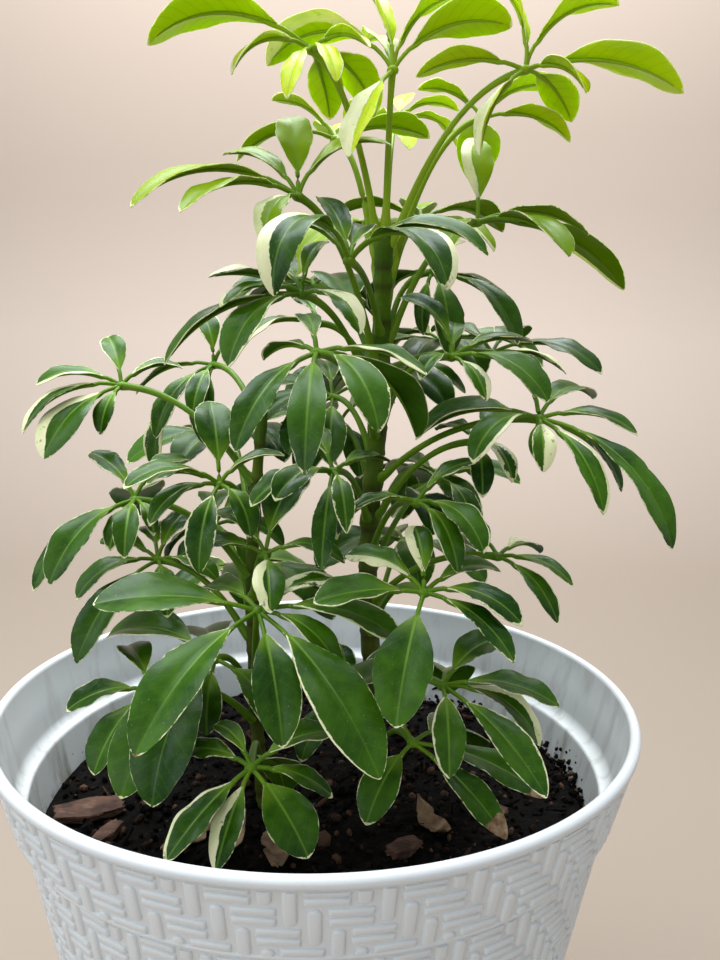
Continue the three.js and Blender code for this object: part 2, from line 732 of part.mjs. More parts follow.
function makeFrond(frond) {
  const hub = new THREE.BoxGeometry(hubWidth, hubWidth, hubHeight).translate(...frond.hub);
  const parts = [solidOf(hub), makeStalk(frond)];
  for (const leaf of frond.leaves) parts.push(makeLeaflet(frond.hub, leaf));
  return wasm.Manifold.union(parts);
}

// The highest soil under a small piece, with the gap that it keeps
function restingHeight(x, y, turn, length) {
  const heights = [-0.5, -0.25, 0, 0.25, 0.5].map((share) => {
    const ahead = share * length;
    return soilHeight(x + ahead * Math.cos(turn), y + ahead * Math.sin(turn));
  });
  return Math.max(...heights) + 1.5 * gap;
}

function makeDryLeaf([x, y, degrees, length, width, curl]) {
  const turn = degrees * radians;
  const bed = restingHeight(x, y, turn, length);
  const form = new THREE.ConeGeometry(1, 1, 4, 4);
  return solidOf(bend(form, (along, across, above, outer) => {
    const half = Math.max(1, width / 2 * Math.sin(Math.PI * Math.min(0.96, along * 0.9 + 0.08)));
    const ahead = (along - 0.5) * length;
    const side = outer ? -across * half : 0;
    const arch = curl * 4 * (along - 0.5) * (along - 0.5) + Math.abs(side) * 0.2;
    const height = bed + arch + (outer && above < -0.5 ? 0 : dryLeafThickness);
    return new THREE.Vector3(
      x + ahead * Math.cos(turn) - side * Math.sin(turn),
      y + ahead * Math.sin(turn) + side * Math.cos(turn),
      height,
    );
  }));
}

function makeChip([x, y, degrees, length, width]) {
  const chip = new THREE.BoxGeometry(length, width, chipThickness, 2, 1, 1);
  const positions = chip.attributes.position;
  for (let i = 0; i < positions.count; i++) {
    const narrowing = 1 - chipTaper * Math.abs(positions.getX(i)) / (length / 2);
    positions.setY(i, positions.getY(i) * narrowing);
  }
  const turn = degrees * radians;
  const middle = restingHeight(x, y, turn, length) + chipThickness / 2;
  return solidOf(chip.rotateZ(turn).translate(x, y, middle));
}

const plastic = finish('#e6eaee', 0.28);
const earth = finish('#1d1815', 0.95);
const bark = finish('#5d6b35', 0.7);
const leafGreen = finish('#2f6b2a', 0.4);
const dryBrown = finish('#7a5a3a', 0.85);

const plant = new THREE.Group();
const grown = grow();
plant.add(piece('pot', makePot(), plastic));
plant.add(piece('soil', makeSoil([makeHole('main'), makeHole('left')]), earth));
plant.add(piece('main_stem', makeStem('main'), bark));
plant.add(piece('left_stem', makeStem('left'), bark));
for (const frond of grown) {
  const name = 'frond_' + String(frond.index + 1).padStart(2, '0');
  plant.add(piece(name, makeFrond(frond), leafGreen));
}

dryLeaves.forEach((row, i) => plant.add(piece('dry_leaf_' + (i + 1), makeDryLeaf(row), dryBrown)));
barkChips.forEach((row, i) => plant.add(piece('bark_chip_' + (i + 1), makeChip(row), dryBrown)));

export default plant;
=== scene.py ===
# %% [markdown]
# # A potted variegated umbrella plant
# This lesson dresses a finished CAD model of the plant. The model comes first and stays fixed: it says
# where every stem, frond and wall is. Blender then makes what the eye looks for, such as veined leaves with
# cream margins, a woven relief on the pot and loose soil. Sizes are worked out in millimetres, and a mesh
# gets them in metres.

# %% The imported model
import math

import bpy
import numpy as np
from mathutils import Matrix, Vector, noise


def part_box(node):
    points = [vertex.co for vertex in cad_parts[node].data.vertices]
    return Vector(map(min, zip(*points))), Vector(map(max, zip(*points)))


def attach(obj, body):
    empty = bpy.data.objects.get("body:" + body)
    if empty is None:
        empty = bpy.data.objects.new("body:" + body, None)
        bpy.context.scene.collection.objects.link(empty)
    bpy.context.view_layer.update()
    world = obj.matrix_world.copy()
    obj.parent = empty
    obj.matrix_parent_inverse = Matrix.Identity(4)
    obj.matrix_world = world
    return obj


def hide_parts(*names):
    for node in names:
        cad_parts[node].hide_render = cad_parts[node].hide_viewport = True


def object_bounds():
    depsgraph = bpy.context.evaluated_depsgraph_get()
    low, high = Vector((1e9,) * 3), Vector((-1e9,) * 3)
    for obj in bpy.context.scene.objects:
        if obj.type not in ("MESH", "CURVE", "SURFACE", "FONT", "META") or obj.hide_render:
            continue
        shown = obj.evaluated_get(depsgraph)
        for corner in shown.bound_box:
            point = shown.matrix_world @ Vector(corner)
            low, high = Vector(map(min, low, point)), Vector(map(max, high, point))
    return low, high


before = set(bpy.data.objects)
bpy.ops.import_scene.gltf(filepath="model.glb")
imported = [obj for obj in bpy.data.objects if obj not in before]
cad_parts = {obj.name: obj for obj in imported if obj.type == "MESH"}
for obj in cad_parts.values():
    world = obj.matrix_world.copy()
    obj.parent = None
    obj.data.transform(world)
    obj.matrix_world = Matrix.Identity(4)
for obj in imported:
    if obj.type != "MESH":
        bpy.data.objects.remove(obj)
cad_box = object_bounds()
METRES = 0.001
size_cm = [round(100 * (high - low)) for low, high in zip(*cad_box)]
print("the model is", size_cm, "cm and has", len(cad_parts), "pieces")

# %% [markdown]
# ## The camera
# The photograph was taken from a little above the rim, close to the plant, with a wide lens. That is why
# the pot's front rim looks so much broader than its back. A camera further off with a longer lens would
# frame the plant as well, but it would flatten that.

# %% Camera
camera_spot = Vector((18.5, -376, 406)) * METRES
camera_pitch = 8
camera_roll = 0.85
camera = bpy.data.objects.new("camera", bpy.data.cameras.new("camera"))
camera.data.lens = 30
camera.data.sensor_width = 36
camera.data.clip_start = 0.01
looking = Matrix.Rotation(math.radians(90 - camera_pitch), 4, "X")
camera.matrix_world = Matrix.Translation(camera_spot) @ looking @ Matrix.Rotation(
    math.radians(camera_roll), 4, "Z")
bpy.context.scene.collection.objects.link(camera)
bpy.context.scene.camera = camera
bpy.context.scene.view_settings.view_transform = "Standard"
print("the camera stands at", [round(c, 3) for c in camera_spot])

# %% [markdown]
# ## Writing a material as arithmetic
# A material is a graph of nodes. Clicking it together suits a window, but in a script the graph is easier
# to read as sums and products. So one small class stands for a node's output, and arithmetic on it adds
# Math nodes. A second class holds the material and adds every other kind of node.


# %% Wires and finishes
class Wire:
    """The output of a node. Arithmetic with it adds Math nodes to its material."""

    def __init__(self, finish, socket):
        self.finish = finish
        self.socket = socket

    def maths(self, operation, first, second=0.0, clamped=False):
        settings = {"operation": operation, "use_clamp": clamped}
        return self.finish.node("ShaderNodeMath", settings, {0: first, 1: second})

    def __add__(self, other):
        return self.maths("ADD", self, other)

    def __radd__(self, other):
        return self.maths("ADD", other, self)

    def __sub__(self, other):
        return self.maths("SUBTRACT", self, other)

    def __rsub__(self, other):
        return self.maths("SUBTRACT", other, self)

    def __mul__(self, other):
        return self.maths("MULTIPLY", self, other)

    def __rmul__(self, other):
        return self.maths("MULTIPLY", other, self)

    def __pow__(self, power):
        return self.maths("POWER", self, power)

    def size(self):
        return self.maths("ABSOLUTE", self)

    def sine(self):
        return self.maths("SINE", self)

    def past(self, edge, softness):
        """0 below the edge, 1 above it, with a ramp as wide as the softness."""
        return self.maths("MULTIPLY", self - edge, 1 / softness, clamped=True)


class Finish:
    """One material. The numbers it starts with are the same all over the surface."""

    def __init__(self, name, constants):
        self.material = bpy.data.materials.new(name)
        self.material.use_nodes = True
        self.tree = self.material.node_tree
        self.shader = self.tree.nodes["Principled BSDF"]
        self.end(constants)

    def feed(self, socket, value):
        if isinstance(value, Wire):
            self.tree.links.new(value.socket, socket)
        elif socket.type == "RGBA":
            socket.default_value = (*value, 1)
        else:
            socket.default_value = value

    def node(self, kind, settings=None, sockets=None, output=0):
        made = self.tree.nodes.new(kind)
        for name, value in (settings or {}).items():
            setattr(made, name, value)
        for name, value in (sockets or {}).items():
            self.feed(made.inputs[name], value)
        return Wire(self, made.outputs[output])

    def end(self, sockets):
        for name, value in sockets.items():
            self.feed(self.shader.inputs[name], value)

    def surface(self, colour, roughness, normal):
        """Ends the material with what changes over its surface."""
        self.end({"Base Color": colour, "Roughness": roughness, "Normal": normal})
        return self.material

    def place(self):
        return self.node("ShaderNodeTexCoord", output="Object")

    def part(self, where, axis):
        return self.node("ShaderNodeSeparateXYZ", sockets={0: where}, output=axis)

    def value(self, name):
        """A number that the mesh carries for each of its points."""
        return self.node("ShaderNodeAttribute", {"attribute_name": name}, output="Fac")

    def noise(self, where, scale, detail=3, roughness=0.55):
        sockets = {"Vector": where, "Scale": scale, "Detail": detail, "Roughness": roughness}
        return self.node("ShaderNodeTexNoise", sockets=sockets)

    def blend(self, mask, under, over):
        """One colour where the mask is 0 and another where it is 1."""
        return self.node("ShaderNodeMix", {"data_type": "RGBA"}, {0: mask, 6: under, 7: over}, output=2)

    def stretched(self, where, scale):
        return self.node("ShaderNodeMapping", sockets={"Vector": where, "Scale": scale})

    def bump(self, height, depth, strength=1.0):
        sockets = {"Height": height, "Distance": depth, "Strength": strength}
        return self.node("ShaderNodeBump", sockets=sockets, output="Normal")


# %% [markdown]
# ## The leaf's two faces
# A leaflet is deep green above, with a waxy shine, and paler and duller below. Its margin lacks the green
# colouring: on most leaflets that is a cream line half a millimetre wide, and on some it runs in towards
# the midrib in ragged patches. An image could be painted for each leaflet, but there are hundreds. So each
# point of a leaflet carries how far it is from the margin, from the midrib and from the leaflet's foot, in
# millimetres, and the material draws the markings from those.

# %% Leaf markings
VEINS_EVERY = 5.2
VEIN_SLANT = 0.9


def leaf_markings(finish):
    """Masks for a leaflet's cream, midrib, side veins and dried tip, and the noises that break them up."""
    across = finish.value("across_mm")
    along = finish.value("along_mm")
    margin = finish.value("margin_mm")
    which = finish.value("leaflet") * 97
    spread = finish.node("ShaderNodeCombineXYZ", sockets={0: across * 0.1, 1: along * 0.1, 2: which})
    fleck = finish.noise(spread, 2.6, 4, 0.62)
    patch = finish.noise(finish.stretched(spread, (1.0, 0.45, 1.0)), 1.25, 5, 0.7)
    one_side = finish.value("cream_side") * across * 0.2
    wide = (finish.value("cream") * (patch + one_side).past(0.38, 0.3)) * 12
    cream_width = finish.value("edge_mm") * fleck.past(0.42, 0.22) + fleck.past(0.6, 0.12) * 0.35 + wide
    tip_cream = (1 - finish.value("tip_mm").past(0.2, 2.2)) * fleck.past(0.45, 0.1) * 1.6
    cream = (cream_width + tip_cream - margin).past(0, 0.25)
    from_foot = along.past(0, 30)
    rib_half = 0.42 - from_foot * 0.22
    midrib = (1 - (across.size() - rib_half).past(0, 0.3)) * (1 - along.past(14, 30) * 0.75)
    slanted = (along - across.size() * VEIN_SLANT) * (math.pi / VEINS_EVERY) + fleck * 0.9
    veins = (1 - slanted.sine().size()) ** 7
    dry_length = finish.value("dry_mm")
    dried = (dry_length + (fleck - 0.5) * 6 - finish.value("tip_mm")).past(0, 0.8) * dry_length.past(0.5, 0.5)
    return cream, midrib, veins, dried, fleck, patch


# %% [markdown]
# The upper fronds are young: thin, light yellow-green and lit from behind, so light comes through them. How
# much light enters a surface has to be one number for a whole material, so young and old leaves get one
# each.

# %% Leaf finishes
CREAM_WHITE, CREAM_GREENISH = (0.84, 0.80, 0.52), (0.60, 0.66, 0.30)
DRY_BROWN, DRY_PALE = (0.17, 0.085, 0.04), (0.42, 0.31, 0.19)
GREEN_LIGHT_REACH = (0.8, 1.0, 0.15)


def leaf_top_finish(name, dark, light, youngest, glow, shine):
    finish = Finish(name, {
        "IOR": shine, "Subsurface Weight": glow, "Subsurface Scale": 0.001,
        "Subsurface Radius": GREEN_LIGHT_REACH})
    cream, midrib, veins, dried, fleck, patch = leaf_markings(finish)
    where = finish.place()
    cloud = finish.noise(where, 24, 3)
    mottle = finish.noise(where, 240, 3, 0.6)
    green = finish.blend((cloud + mottle * 0.3).past(0.5, 0.28), dark, light)
    green = finish.blend(finish.value("young"), green, youngest)
    green = finish.blend(veins * 0.2, green, (0.07, 0.18, 0.008))
    foot = 1 - finish.value("along_mm").past(0, 11)
    green = finish.blend(foot * 0.75, green, (0.20, 0.36, 0.016))
    green = finish.blend(midrib * 0.55, green, (0.18, 0.34, 0.03))
    pale = finish.blend(patch.past(0.35, 0.4), CREAM_WHITE, CREAM_GREENISH)
    colour = finish.blend(cream * (1 - fleck.past(0.62, 0.06) * 0.6), green, pale)
    withered = finish.blend(mottle.past(0.4, 0.3), DRY_BROWN, DRY_PALE)
    colour = finish.blend(dried, colour, withered)
    dot = finish.noise(where, 1400, 1).past(0.74, 0.04)
    colour = finish.blend(dot * 0.3, colour, (0.45, 0.55, 0.40))
    roughness = 0.14 + cloud * 0.26 + mottle * 0.12 + dried * 0.3
    return finish.surface(
        colour, roughness, finish.bump(mottle * 0.35 - veins * 0.12 - midrib * 0.5, 0.00025, 0.6))


def leaf_under_finish(name, dark, light, youngest, glow):
    finish = Finish(name, {
        "IOR": 1.22, "Subsurface Weight": glow, "Subsurface Scale": 0.0012,
        "Subsurface Radius": GREEN_LIGHT_REACH})
    cream, midrib, veins, dried, fleck, patch = leaf_markings(finish)
    cloud = finish.noise(finish.place(), 30, 3)
    green = finish.blend(cloud.past(0.3, 0.5), dark, light)
    green = finish.blend(finish.value("young"), green, youngest)
    green = finish.blend(veins * 0.3, green, (0.16, 0.30, 0.03))
    green = finish.blend(midrib, green, (0.24, 0.40, 0.06))
    colour = finish.blend(cream, green, (0.74, 0.72, 0.40))
    colour = finish.blend(dried, colour, DRY_PALE)
    return finish.surface(colour, 0.5 + cloud * 0.1, finish.bump(veins * 0.5, 0.0003, 0.8))


leaf_top = leaf_top_finish(
    "leaf_top", (0.008, 0.042, 0.001), (0.046, 0.130, 0.002), (0.08, 0.20, 0.002), 0.14, 1.28)
leaf_under = leaf_under_finish(
    "leaf_under", (0.055, 0.145, 0.002), (0.095, 0.22, 0.003), (0.15, 0.31, 0.002), 0.25)
young_top = leaf_top_finish(
    "young_leaf_top", (0.040, 0.125, 0.001), (0.085, 0.20, 0.001), (0.52, 0.64, 0.001), 0.6, 1.2)
young_under = leaf_under_finish(
    "young_leaf_under", (0.10, 0.22, 0.001), (0.15, 0.30, 0.002), (0.56, 0.70, 0.002), 0.6)

# %% [markdown]
# ## Stalks and bark
# Stalks stay green all their life, yellower towards the light. The stem's skin turns from green to olive
# brown with age, and fine cracks run along it.


# %% Stalk and bark finishes
def stalk_finish():
    finish = Finish("stalk_green", {"IOR": 1.3, "Subsurface Weight": 0.15, "Subsurface Scale": 0.001})
    where = finish.place()
    cloud = finish.noise(where, 45, 3)
    streak = finish.noise(finish.stretched(where, (1, 1, 0.2)), 420, 3)
    green = finish.blend(cloud.past(0.35, 0.4), (0.075, 0.18, 0.003), (0.15, 0.28, 0.006))
    green = finish.blend(finish.value("young"), green, (0.26, 0.40, 0.008))
    colour = finish.blend(streak.past(0.58, 0.2) * 0.5, green, (0.07, 0.13, 0.008))
    return finish.surface(colour, 0.38 + cloud * 0.12, finish.bump(streak, 0.0002, 0.5))


def bark_finish():
    finish = Finish("stem_bark", {"IOR": 1.26})
    where = finish.place()
    height = finish.part(where, "Z")
    streak = finish.noise(finish.stretched(where, (1, 1, 0.12)), 520, 4)
    blotch = finish.noise(where, 60, 4)
    fresh = finish.blend(blotch.past(0.4, 0.25), (0.045, 0.110, 0.001), (0.100, 0.195, 0.003))
    old = finish.blend(blotch.past(0.4, 0.25), (0.042, 0.068, 0.003), (0.100, 0.115, 0.015))
    colour = finish.blend(height.past(0.27, 0.16), old, fresh)
    colour = finish.blend(finish.value("scar") * 0.75, colour, (0.045, 0.034, 0.010))
    colour = finish.blend(streak.past(0.6, 0.15) * 0.45, colour, (0.12, 0.15, 0.02))
    return finish.surface(colour, 0.5 + blotch * 0.2, finish.bump(streak + blotch, 0.0004, 0.7))


stalk_green = stalk_finish()
stem_bark = bark_finish()

# %% [markdown]
# ## How the plant grows
# The fronds are placed as the CAD model places them, so that each fine piece lies where its plain solid
# lies. Points could be read off the solids, but they are coarse. Instead the same rule is run again: the
# same sizes, the same rows and the same seeded draws, in the same order.

# %% Sizes of the plant
POT_HEIGHT = 250
RIM_RADIUS = 150
SOIL_TOP = 195
STEMS = {
    "main": {
        "points": [[25, 6, -85], [27, 7, -20], [23, 4, 60], [27, 6, 140], [28, 5, 222]],
        "foot": 4.6,
        "tip": 3.4,
    },
    "left": {
        "points": [[-24, -16, -80], [-29, -18, 0], [-30, -21, 60], [-27, -18, 120], [-25, -16, 143]],
        "foot": 3.2,
        "tip": 2.2,
    },
}
STALK_RADIUS = 1.8
STALK_STAND_OFF = 0.4
PETIOLULE_SHARE = 0.2
WIDTH_PER_LENGTH = 0.46
BEND_OUT, BEND_RISE, BEND_LIFT = 0.42, 0.85, 5
WIDEST_SHIFT, FULLNESS = 1.15, 0.8

# %% [markdown]
# Each row is a frond: its stem, the height of its foot on it, its hub [x, y, height], how far its leaflets
# turn their faces to the front in degrees, then its leaflets [heading, drop, reach, broadness, bow].
# Heights are measured from the rim. A heading of 0 points right, 90 away, 180 left and 270 to the front.
# The drop is the angle of the line from hub to tip below the level, the reach is its length, and the bow is
# the angle the blade bends down through. Broadness is 1 and the bow is drawn by lot where they are left
# out.

# %% The fronds
FRONDS = [
    ["main", 219, [30, -10, 283], -24, [
        [175, -3, 55, 0.95, 58], [137, -60, 50], [33, -55, 48], [0, -20, 54, 1.15], [110, -35, 40],
        [243, 49, 59, 0.75, 18]
    ]],
    ["main", 212, [87, -10, 284], -26, [
        [140, -50, 44], [192, 8, 49], [5, -35, 49], [335, 15, 67, 1.1], [310, 28, 36, 1.25], [215, 58, 46]
    ]],
    ["main", 215, [-5, -15, 289], -26, [
        [205, 8, 69], [222, 26, 44, 0.8], [258, 42, 45, 0.55], [290, 34, 42, 0.6], [318, 12, 34, 0.8],
        [140, -58, 42], [60, -35, 48]
    ]],
    ["main", 206, [36, 95, 293], -20, [
        [12, -12, 37, 0.9, 42], [348, 24, 37, 1, 50], [284, 40, 34, 1, 12], [232, 16, 37, 0.9, 20],
        [76, -36, 42, 0.8, 12], [130, -12, 48]
    ]],
    ["main", 198, [74, 25, 274], -20, [
        [350, 16, 43], [8, -24, 40], [160, -27, 36, 0.8]
    ]],
    ["main", 158, [-9, -30, 226], 26, [
        [200, 8, 68, 0.9], [224, 14, 58, 0.9], [105, -60, 43], [20, -31, 48], [250, 34, 40, 0.8],
        [150, -28, 45]
    ]],
    ["main", 196, [4, 30, 265], -20, [
        [200, 17, 50, 0.8], [160, -32, 40], [20, -5, 48], [90, -15, 48]
    ]],
    ["main", 168, [70, 0, 222], -12, [
        [95, -68, 44], [338, 9, 50, 0.9], [315, 21, 56], [2, 21, 78, 0.62], [160, -38, 54, 1.1],
        [240, 30, 40, 0.8]
    ]],
    ["main", 184, [47, 35, 228], 0, [
        [330, 23, 42], [30, 0, 52], [90, -10, 52], [160, -5, 46]
    ]],
    ["main", 172, [13, -55, 197], 26, [
        [238, 20, 50, 0.92, 80], [320, 16, 48, 1.15, 66], [125, -50, 36], [75, -45, 34], [155, -22, 38],
        [352, -3, 54, 0.9, 50]
    ]],
    ["main", 136, [-6, -45, 185], 26, [
        [228, 38, 48], [212, 11, 36], [183, -9, 38, 1.1], [205, 28, 62, 0.8], [318, 27, 36, 0.85],
        [60, -50, 30, 0.8], [120, -18, 42]
    ]],
    ["main", 124, [2, -80, 161], 26, [
        [268, 45, 56, 0.64], [238, 40, 52, 0.72], [308, 36, 45, 0.85], [342, 10, 42, 0.8], [160, -3, 36],
        [85, -40, 32]
    ]],
    ["main", 150, [-2, 4, 176], 26, [
        [205, 20, 40, 0.8], [165, 12, 40], [110, -20, 38, 0.8]
    ]],
    ["main", 139, [57, -30, 161], 26, [
        [150, -45, 36], [80, -55, 36], [235, 20, 28, 0.8], [300, 36, 30, 0.8],
        [326, 22, 47, 0.9], [20, -10, 40]
    ]],
    ["main", 155, [83, 25, 164], 26, [
        [8, 14, 40], [335, 10, 54, 0.8], [60, -12, 48], [130, -15, 44]
    ]],
    ["main", 164, [52, 20, 202], 26, [
        [330, 38, 56, 0.8], [195, 12, 28, 0.8], [284, 57, 48, 0.82], [70, -25, 46], [243, 55, 45, 0.7]
    ]],
    ["main", 103, [92, -45, 136], 26, [
        [212, 26, 38, 0.95, 50], [105, -50, 38], [302, 43, 50, 0.68], [325, 40, 73, 0.62], [352, 8, 40, 0.9],
        [336, 32, 44, 0.7], [276, 40, 27, 1.05], [252, 40, 22, 0.8], [45, -10, 44]
    ]],
    ["main", 85, [71, -20, 124], 26, [
        [268, 42, 32, 0.9], [296, 30, 30, 0.9], [60, -20, 32], [120, -5, 32]
    ]],
    ["main", 68, [42, -50, 101], 26, [
        [298, 36, 38, 0.8], [312, 22, 39], [326, 14, 38], [25, -25, 32], [200, 4, 28, 0.8]
    ]],
    ["main", 28, [44, -75, 70], 26, [
        [188, 4, 43, 1.15, 14], [150, -15, 37], [98, -42, 32, 0.9], [341, -2, 39, 0.9],
        [325, 20, 43, 0.85], [252, 46, 54, 1.15, 22], [30, -6, 38, 0.9]
    ]],
    ["main", 44, [80, -30, 74], 26, [
        [326, 12, 35, 0.75], [308, 32, 40, 0.7], [45, 6, 34], [110, -4, 40]
    ]],
    ["left", 12, [-21, -70, 60], 26, [
        [188, -4, 63, 1.15, 16], [234, 31, 71, 0.92, 24], [290, 45, 55, 0.86, 24], [317, 35, 80, 0.74, 22],
        [30, -14, 36, 0.9], [55, -12, 42, 0.9], [1, 6, 60, 0.86, 30], [331, 24, 40, 0.8], [136, 8, 45]
    ]],
    ["left", -28, [-22, -85, 2], 26, [
        [316, 34, 40, 1.3, 16], [236, 20, 47, 0.8, 16], [256, 33, 40, 0.8, 16], [135, -20, 26, 0.8],
        [28, -10, 38], [356, 22, 34, 0.9], [160, -16, 32, 0.9]
    ]],
    ["main", -38, [43, -50, -4], 26, [
        [233, 34, 40, 1.05], [316, 25, 54, 0.74, 16], [341, 14, 58, 0.7, 20], [130, -8, 28]
    ]],
    ["main", -14, [54, -60, 26], 26, [
        [270, 38, 39, 0.92], [38, -22, 36, 1.3], [346, 4, 47, 0.85], [312, 27, 59, 0.7, 20],
        [335, 20, 45, 0.85]
    ]],
    ["main", -26, [15, -25, 4], 26, [
        [322, 26, 49, 1.2], [105, -48, 28], [35, -30, 36], [230, 30, 36], [165, -10, 30]
    ]],
    ["left", 2, [-43, -44, 30], 26, [
        [237, 37, 66, 1.1], [247, 36, 66, 1.1], [268, 38, 45, 1.1], [318, 34, 48]
    ]],
    ["left", -8, [-70, -50, 18], 26, [
        [198, 9, 34], [236, 27, 46, 1.1], [254, 34, 39], [284, 36, 60], [330, 26, 42, 1.1],
        [120, -10, 40], [60, -2, 40]
    ]],
    ["left", 88, [-42, -35, 105], 26, [
        [312, 40, 30, 1.1], [262, 50, 42, 0.8], [115, -50, 45, 1.1], [35, -32, 36, 0.8],
        [186, 0, 31, 0.9], [206, 5, 42, 0.9], [222, 23, 36, 0.8]
    ]],
    ["left", 62, [-80, -30, 97], 26, [
        [232, 35, 51, 0.9], [215, 40, 56, 0.7], [256, 40, 28, 0.9], [310, 36, 22, 0.8],
        [276, 50, 34, 0.8], [150, -34, 34, 0.9], [50, -26, 34, 0.9]
    ]],
    ["left", 104, [-92, -5, 146], 26, [
        [192, 0, 37, 0.9], [208, 26, 48, 0.9], [230, 38, 50, 1.1], [256, 42, 28, 0.9],
        [30, -16, 30, 0.9], [120, -42, 34, 0.9]
    ]],
    ["left", 130, [-55, 25, 156], 26, [
        [226, 46, 48, 0.8], [208, 54, 60, 0.7], [246, 40, 44, 0.8], [265, 54, 42, 0.8], [45, -34, 34],
        [120, -45, 34], [170, 20, 44, 0.8]
    ]],
    ["left", 32, [-77, -5, 64], 26, [
        [238, 37, 60, 0.8], [68, -38, 32], [345, 14, 32], [160, -10, 34], [110, -10, 40],
        [208, 22, 40], [292, 36, 34]
    ]],
    ["left", 47, [-53, 10, 78], 26, [
        [312, 38, 46], [165, 25, 40, 0.9], [45, -22, 40], [100, -12, 44], [205, 32, 38],
        [258, 44, 36, 0.9], [352, 14, 36]
    ]],
    ["main", 84, [7, -40, 112], 26, [
        [275, 52, 48, 0.58], [306, 42, 44, 0.62], [196, 20, 38], [40, -4, 32], [232, 28, 36],
        [120, -24, 36]
    ]],
    ["left", 52, [-21, -46, 77], 26, [
        [70, -45, 45, 1.1], [215, 33, 36], [352, 3, 34], [130, -40, 36], [280, 32, 36], [178, 2, 36]
    ]],
    ["main", 58, [62, 50, 97], 26, [
        [345, 0, 42], [300, 40, 38], [60, 5, 46], [130, 0, 44], [200, 20, 34, 0.9]
    ]],
    ["main", 98, [7, 55, 126], 26, [
        [175, 0, 46, 1.1], [45, -20, 44], [110, -5, 46], [235, 40, 42, 1.1], [205, 20, 44, 1.1],
        [285, 40, 40]
    ]],
    ["main", 116, [4, 30, 141], 26, [
        [170, -5, 44], [232, 40, 42, 1.1], [100, -25, 42], [200, 20, 44], [270, 45, 40, 1.1]
    ]],
    ["main", 176, [30, 70, 232], 26, []],
    ["main", 152, [-8, 72, 200], 26, []],
    ["main", 128, [62, 66, 170], 26, []],
    ["left", 72, [-52, 58, 118], 26, []],
    ["main", 106, [24, 84, 150], 26, []],
    ["main", 72, [48, 80, 100], 26, []],
    ["main", 20, [44, 84, 56], 26, []],
    ["left", 4, [-46, 64, 44], 26, []],
]

# %% [markdown]
# ## The stems' curves
# A stem runs through a few points on a spline whose steps grow with the square root of the distance between
# them. It passes through each point and never loops between close ones, as a curve with guessed handles
# could.


# %% Curves of stems and stalks
def stem_point(stem, share):
    """The point of a stem's middle line at a share of the way along its points, measured from the rim."""
    points = np.array(stem["points"], float)
    last = len(points) - 1
    order = min(int(share * last), last - 1)
    weight = share * last - order
    before = points[order - 1] if order > 0 else 2 * points[0] - points[1]
    start, end = points[order], points[order + 1]
    after = points[order + 2] if order + 2 <= last else 2 * points[last] - points[last - 1]
    quarter = 0.25
    step0, step1, step2 = (
        np.sum((b - a) ** 2) ** quarter for a, b in ((before, start), (start, end), (end, after)))
    leaving = (start - before) / step0 - (end - before) / (step0 + step1) + (end - start) / step1
    arriving = (end - start) / step1 - (after - start) / (step1 + step2) + (after - end) / step2
    leaving = leaving * step1
    arriving = arriving * step1
    square = -3 * start + 3 * end - 2 * leaving - arriving
    cube = 2 * start - 2 * end + leaving + arriving
    return start + leaving * weight + square * weight ** 2 + cube * weight ** 3 + [0, 0, POT_HEIGHT]


def stem_radius(stem, height):
    low, high = stem["points"][0][2], stem["points"][-1][2]
    return stem["foot"] + (stem["tip"] - stem["foot"]) * (height - low) / (high - low)


def stem_point_at(stem, height):
    """The point of the middle line at a height above the rim, found by halving."""
    low, high = 0.0, 1.0
    for _ in range(40):
        middle = (low + high) / 2
        if stem_point(stem, middle)[2] - POT_HEIGHT < height:
            low = middle
        else:
            high = middle
    return stem_point(stem, (low + high) / 2)


def stalk_curve(row, bow):
    """Start, bend and end of the curve that a stalk follows from its stem to its hub."""
    stem = STEMS[row[0]]
    middle = stem_point_at(stem, row[1])
    end = np.array(row[2], float) + [0, 0, POT_HEIGHT]
    out = (end - middle)[:2]
    out = out / math.sqrt(out[0] * out[0] + out[1] * out[1])
    stand = stem_radius(stem, row[1]) + STALK_STAND_OFF
    start = np.array([middle[0] + out[0] * stand, middle[1] + out[1] * stand, middle[2]])
    bent = np.array([
        start[0] + BEND_OUT * (end[0] - start[0]) - bow * out[1],
        start[1] + BEND_OUT * (end[1] - start[1]) + bow * out[0],
        start[2] + BEND_RISE * (end[2] - start[2]) + BEND_LIFT,
    ])
    return start, bent, end


def on_stalk(curve, share):
    """Points of a stalk's curve at shares of the way along it."""
    share = np.asarray(share, float).reshape(-1, 1)
    start, bent, end = curve
    return (1 - share) ** 2 * start + 2 * (1 - share) * share * bent + share ** 2 * end


# %% [markdown]
# ## A leaflet's own frame
# A leaflet arches along a piece of a circle from hub to tip, while its blade turns a little about its
# midrib. At every share of that way the frame gives the point of the midrib and the two directions across
# it, so anything flat can be bent into place by formula.


